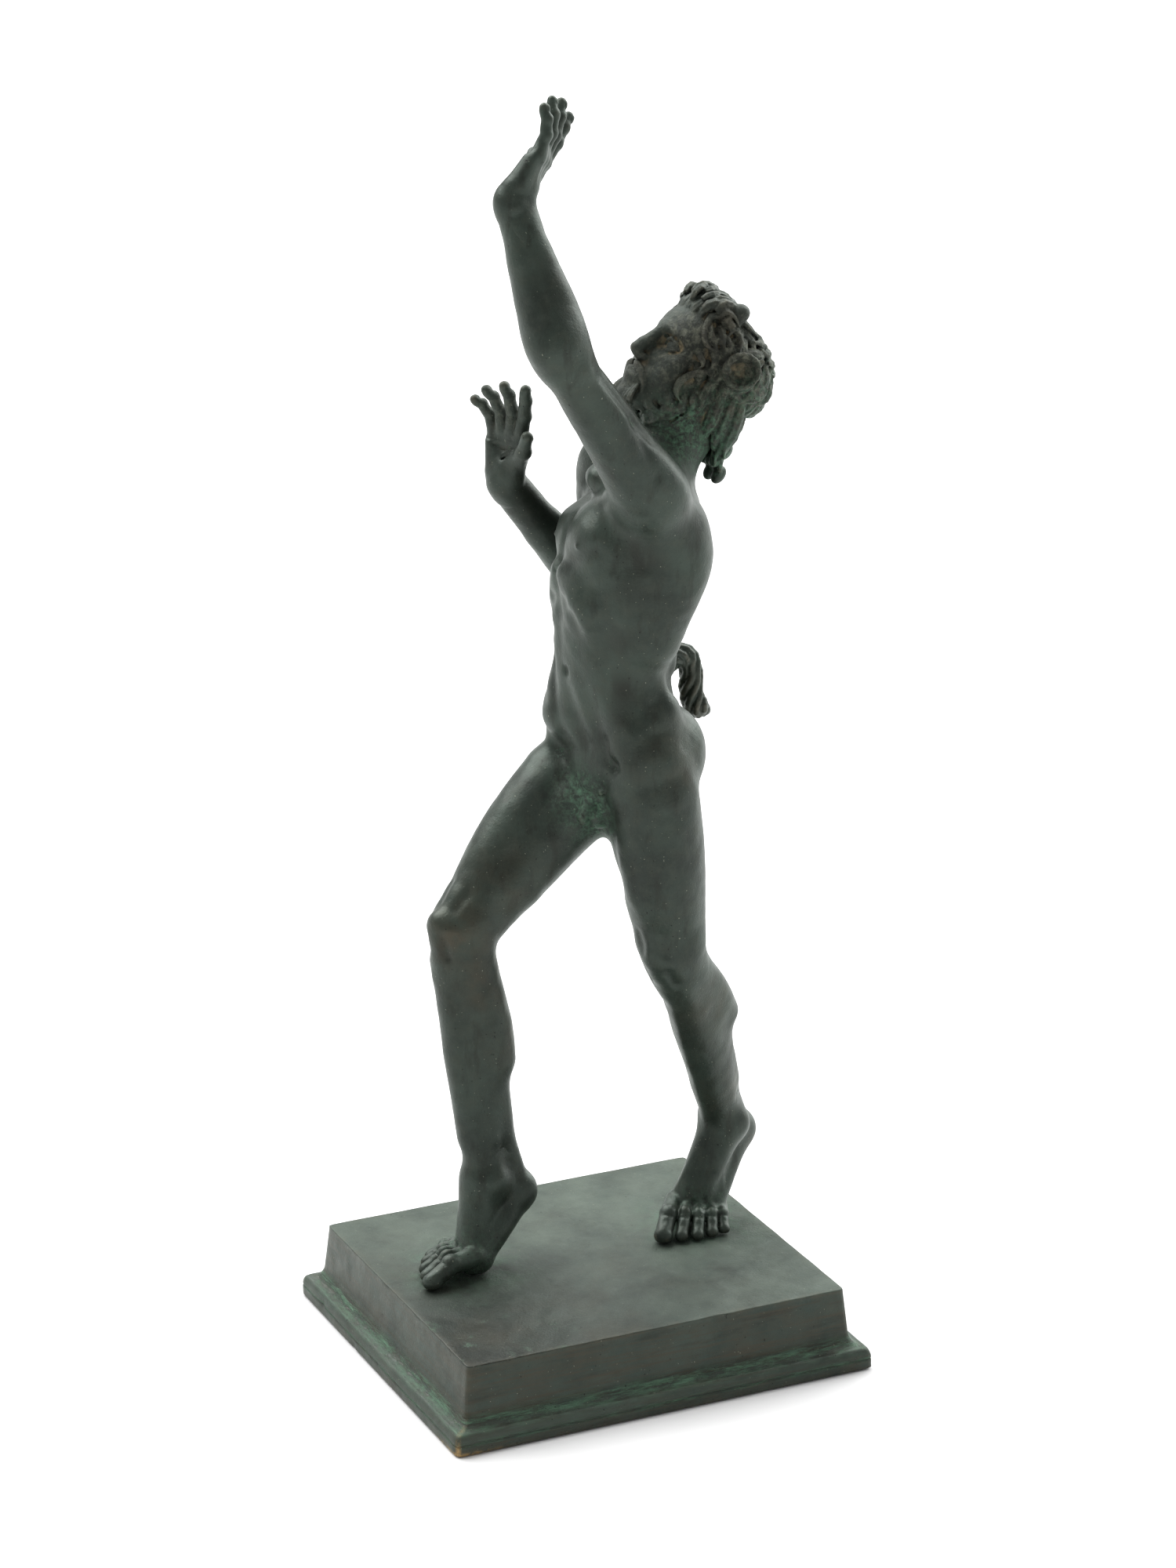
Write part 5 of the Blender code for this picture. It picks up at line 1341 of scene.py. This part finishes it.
def plinth_section():
    """The plinth's section as (inset, height), from the middle of the underside out and up to the top."""
    corner = (0.4, 0.8, 1.2, 1.57)
    roll_top = BAND_HEIGHT + ROLL_HEIGHT
    slab_low, slab_high = roll_top + COVE_HEIGHT, PLINTH_HEIGHT - EDGE_BEVEL
    slab_inset = PLINTH_STEP + SLAB_TAPER
    rows = [(inset, 0.0) for inset in (0.030, 0.012, 0.003, FOOT_BEVEL)]
    rows += [(FOOT_BEVEL * (1 - math.sin(a)), FOOT_BEVEL * (1 - math.cos(a))) for a in corner]
    rows += [(0.0, FOOT_BEVEL + (BAND_HEIGHT - 0.0006) * t) for t in (0.33, 0.66, 1.0)]
    rows += [(0.00018, BAND_HEIGHT - 0.00005), (0.00005, BAND_HEIGHT + 0.0001)]
    quarter = [math.radians(90 * i / ARC_ROWS) for i in range(1, ARC_ROWS + 1)]
    for a in quarter:
        rows.append((ROLL_DEPTH * (1 - math.cos(a)), BAND_HEIGHT + ROLL_HEIGHT * math.sin(a)))
    for a in quarter:
        inset = ROLL_DEPTH + (PLINTH_STEP - ROLL_DEPTH) * math.sin(a)
        rows.append((inset, roll_top + COVE_HEIGHT * (1 - math.cos(a))))
    for i in range(1, ARC_ROWS + 1):
        height = slab_low + (slab_high - slab_low) * i / ARC_ROWS
        rows.append((PLINTH_STEP + SLAB_TAPER * i / ARC_ROWS, height))
    for a in corner:
        rows.append((slab_inset + EDGE_BEVEL * (1 - math.cos(a)), slab_high + EDGE_BEVEL * math.sin(a)))
    inset = slab_inset + EDGE_BEVEL
    while inset < PLINTH_WIDTH / 2 - 0.002:
        inset += ROW_GAP
        rows.append((inset, PLINTH_HEIGHT))
    return rows


def plinth_mesh():
    """The moulded plinth as points and faces, with slightly rounded corners."""
    across, deep = EDGE_POINTS
    edge = []
    for sx, sy, ex, ey, count in ((-1, -1, 1, -1, across), (1, -1, 1, 1, deep),
                                  (1, 1, -1, 1, across), (-1, 1, -1, -1, deep)):
        for i in range(count):
            edge.append((sx + (ex - sx) * i / count, sy + (ey - sy) * i / count))
    edge = np.array(edge)
    points = []
    for inset, height in plinth_section():
        ring = edge * np.array([PLINTH_WIDTH / 2 - inset, PLINTH_LENGTH / 2 - inset])
        corner = np.minimum(np.abs(edge[:, 0]), np.abs(edge[:, 1])) > 0.999
        ring[corner] -= np.sign(ring[corner]) * CORNER_CUT
        points.append(np.column_stack([ring, np.full(len(ring), height)]))
    count, rows = len(edge), len(points)
    faces = []
    for r in range(rows - 1):
        for i in range(count):
            j = (i + 1) % count
            faces.append((r * count + i, r * count + j, (r + 1) * count + j, (r + 1) * count + i))
    faces.append(tuple(range(count))[::-1])
    faces.append(tuple((rows - 1) * count + i for i in range(count)))
    return np.concatenate(points), faces


def bell(value, middle, reach):
    """1 at the middle, falling off smoothly within the reach."""
    return np.exp(-((value - middle) / reach) ** 2)


def plinth_piece(finish):
    """The moulded plinth with softened corners, tool marks and small knocks."""
    points, faces = plinth_mesh()
    # The rest is in millimetres
    x, y, z = points.T * 1000
    inner_x, inner_y = PLINTH_WIDTH * 500 - np.abs(x), PLINTH_LENGTH * 500 - np.abs(y)
    inset = np.minimum(inner_x, inner_y)
    rng = np.random.default_rng(8)
    uneven = np.zeros(len(points))
    for length in (31.0, 17.0, 9.0):
        turns = 2 * math.pi / (length * rng.uniform(0.8, 1.3, 3))
        shift = rng.uniform(0, 6.28, 3)
        level = np.sin(x * turns[0] + shift[0]) * np.sin(y * turns[1] + shift[1])
        uneven += level * np.cos(z * turns[2] * 0.4)
    uneven = 1 + np.clip(uneven, -1, 1)
    outer, upper = z > 0.5, z > 16.3
    points[:, 2] -= np.where(upper, TOP_WEAR * uneven, 0)
    points[:, :2] *= 1 - np.where(outer & ~upper, SIDE_WEAR * uneven, 0)[:, None]
    for *spot, reach, depth in KNOCKS:
        away = np.sum((points * 1000 - np.array(spot)) ** 2, axis=1)
        push = np.exp(-away / reach**2) * depth / 1000
        inward = -points * np.array([1, 1, 0.6])
        inward /= np.maximum(np.linalg.norm(inward, axis=1), 1e-6)[:, None]
        points += inward * push[:, None]
    mesh = bpy.data.meshes.new("plinth_dressed")
    mesh.from_pydata(points, [], faces)
    mesh.shade_smooth()
    # Where dirt and green settle in the cove and where edges are rubbed; also painted shade in the cove and
    # over the top towards its front corner, a painted highlight along the edges and a painted sheen over the
    # rest of the top
    cove = bell(z, 5.2, 1.0) + 0.8 * bell(z, 2.3, 0.45)
    rim = bell(z, 16.4, 0.35) * bell(inset, 4.5, 0.5)
    foot_rim = bell(z, 0, 0.5) * (inset < 0.8)
    roll = bell(z, 3.8, 1.2)
    post = bell(inner_x, inner_y, 0.45) * (inset < 4.6)
    from_corner = (x - 38) ** 2 + (y + 43) ** 2
    # Painted shade over the top, strongest at its front corner and fading out over about 46 mm
    near_corner, painted_front_shade = np.exp(-from_corner / 40.0), np.exp(-from_corner / 46.0**2)
    soles = sum(np.exp(-((x + 5) ** 2 + (y - sole) ** 2) / 90.0) for sole in (-24, 29))
    top = z > 16.2
    add_marks(mesh, {
        "hollow": np.clip(cove * 0.55 + 0.85 * painted_front_shade * top, 0, 1),
        "ridge": np.clip(rim * 0.6 + foot_rim * 0.7 + post * (0.25 + 0.4 * near_corner), 0, 1),
        "green": np.clip(cove * 0.75 * (outer & ~top) + 0.6 * soles * top, 0, 1),
        "brown": np.where(top, 0.0, 0.5 - 0.35 * roll) + 0.3 * near_corner * ~top,
        "dark": np.where(top, 0.95 * painted_front_shade, 0.0),
        "bare": np.clip(near_corner * (post * bell(z, 0, 3.2) + foot_rim) * 1.1, 0, 1),
        "dust_and_sheen": np.where(top, 1.0 - 0.98 * painted_front_shade, 0.55 * roll),
    })
    made = bpy.data.objects.new("plinth_dressed", mesh)
    bpy.context.scene.collection.objects.link(made)
    mesh.materials.append(finish)
    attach(made, "root")
    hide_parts("plinth")


def lamp(name, place, strength, spread):
    """A broad soft light from far off in the direction of place."""
    light = bpy.data.lights.new(name, "SUN")
    light.energy = strength
    light.angle = math.radians(spread)
    made = bpy.data.objects.new(name, light)
    made.location = place
    made.rotation_euler = (-Vector(place)).to_track_quat("-Z", "Y").to_euler()
    bpy.context.scene.collection.objects.link(made)


def studio():
    """A pale floor, soft lamps and a white surround."""
    mesh = bpy.data.meshes.new("floor")
    corners = ((-1, -1), (1, -1), (1, 1), (-1, 1))
    mesh.from_pydata([(FLOOR_REACH * a, FLOOR_REACH * b, 0) for a, b in corners], [], [(0, 1, 2, 3)])
    floor = bpy.data.objects.new("floor", mesh)
    floor.location.z = -0.0002
    bpy.context.scene.collection.objects.link(floor)
    pale = bpy.data.materials.new("pale_floor")
    pale.use_nodes = True
    inputs = pale.node_tree.nodes["Principled BSDF"].inputs
    inputs["Base Color"].default_value = (0.75, 0.75, 0.75, 1)
    inputs["Roughness"].default_value = 0.9
    mesh.materials.append(pale)
    world = bpy.data.worlds.new("surround")
    bpy.context.scene.world = world
    world.use_nodes = True
    inputs = world.node_tree.nodes["Background"].inputs
    inputs["Color"].default_value = (1.0, 1.0, 1.0, 1)
    inputs["Strength"].default_value = SURROUND_STRENGTH
    lamp("key", (-2.2, -0.9, 3.0), 4.4, 60)
    lamp("back", (-1.5, 3.4, 2.4), 3.6, 60)
    bpy.context.scene.view_settings.view_transform = "Standard"


def photo_camera():
    """The camera at the photograph's viewing angle."""
    azimuth, elevation = math.radians(CAMERA_AZIMUTH), math.radians(CAMERA_ELEVATION)
    level = math.cos(elevation)
    right = Vector((math.cos(azimuth), math.sin(azimuth), 0))
    back = Vector((math.sin(azimuth) * level, -math.cos(azimuth) * level, math.sin(elevation)))
    data = bpy.data.cameras.new("camera")
    data.lens = LENS
    data.sensor_width = SENSOR
    data.clip_start, data.clip_end = 0.05, 60.0
    made = bpy.data.objects.new("camera", data)
    made.location = right * CAMERA_ASIDE + Vector((0, 0, CAMERA_AIM_HEIGHT)) + back * CAMERA_DISTANCE
    made.rotation_mode = "QUATERNION"
    made.rotation_quaternion = (-back).to_track_quat("-Z", "Y")
    bpy.context.scene.collection.objects.link(made)
    bpy.context.scene.camera = made


figure_finish = patina("bronze_patina_worn", FIGURE_TONES)
plinth_finish = patina("bronze_plinth_worn", PLINTH_TONES, 0.65)
body = cast_piece("faun_body", body_clay(), figure_finish)
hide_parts("faun_figure")
cast_piece("faun_head", head_clay(), figure_finish)
cast_piece("hand_left", hand_clay(1), figure_finish)
cast_piece("hand_right", hand_clay(-1), figure_finish)
cast_piece("foot_left", foot_clay(1), figure_finish)
cast_piece("foot_right", foot_clay(-1), figure_finish)
cast_piece("faun_tail", tail_clay(), figure_finish)
plinth_piece(plinth_finish)
studio()
photo_camera()
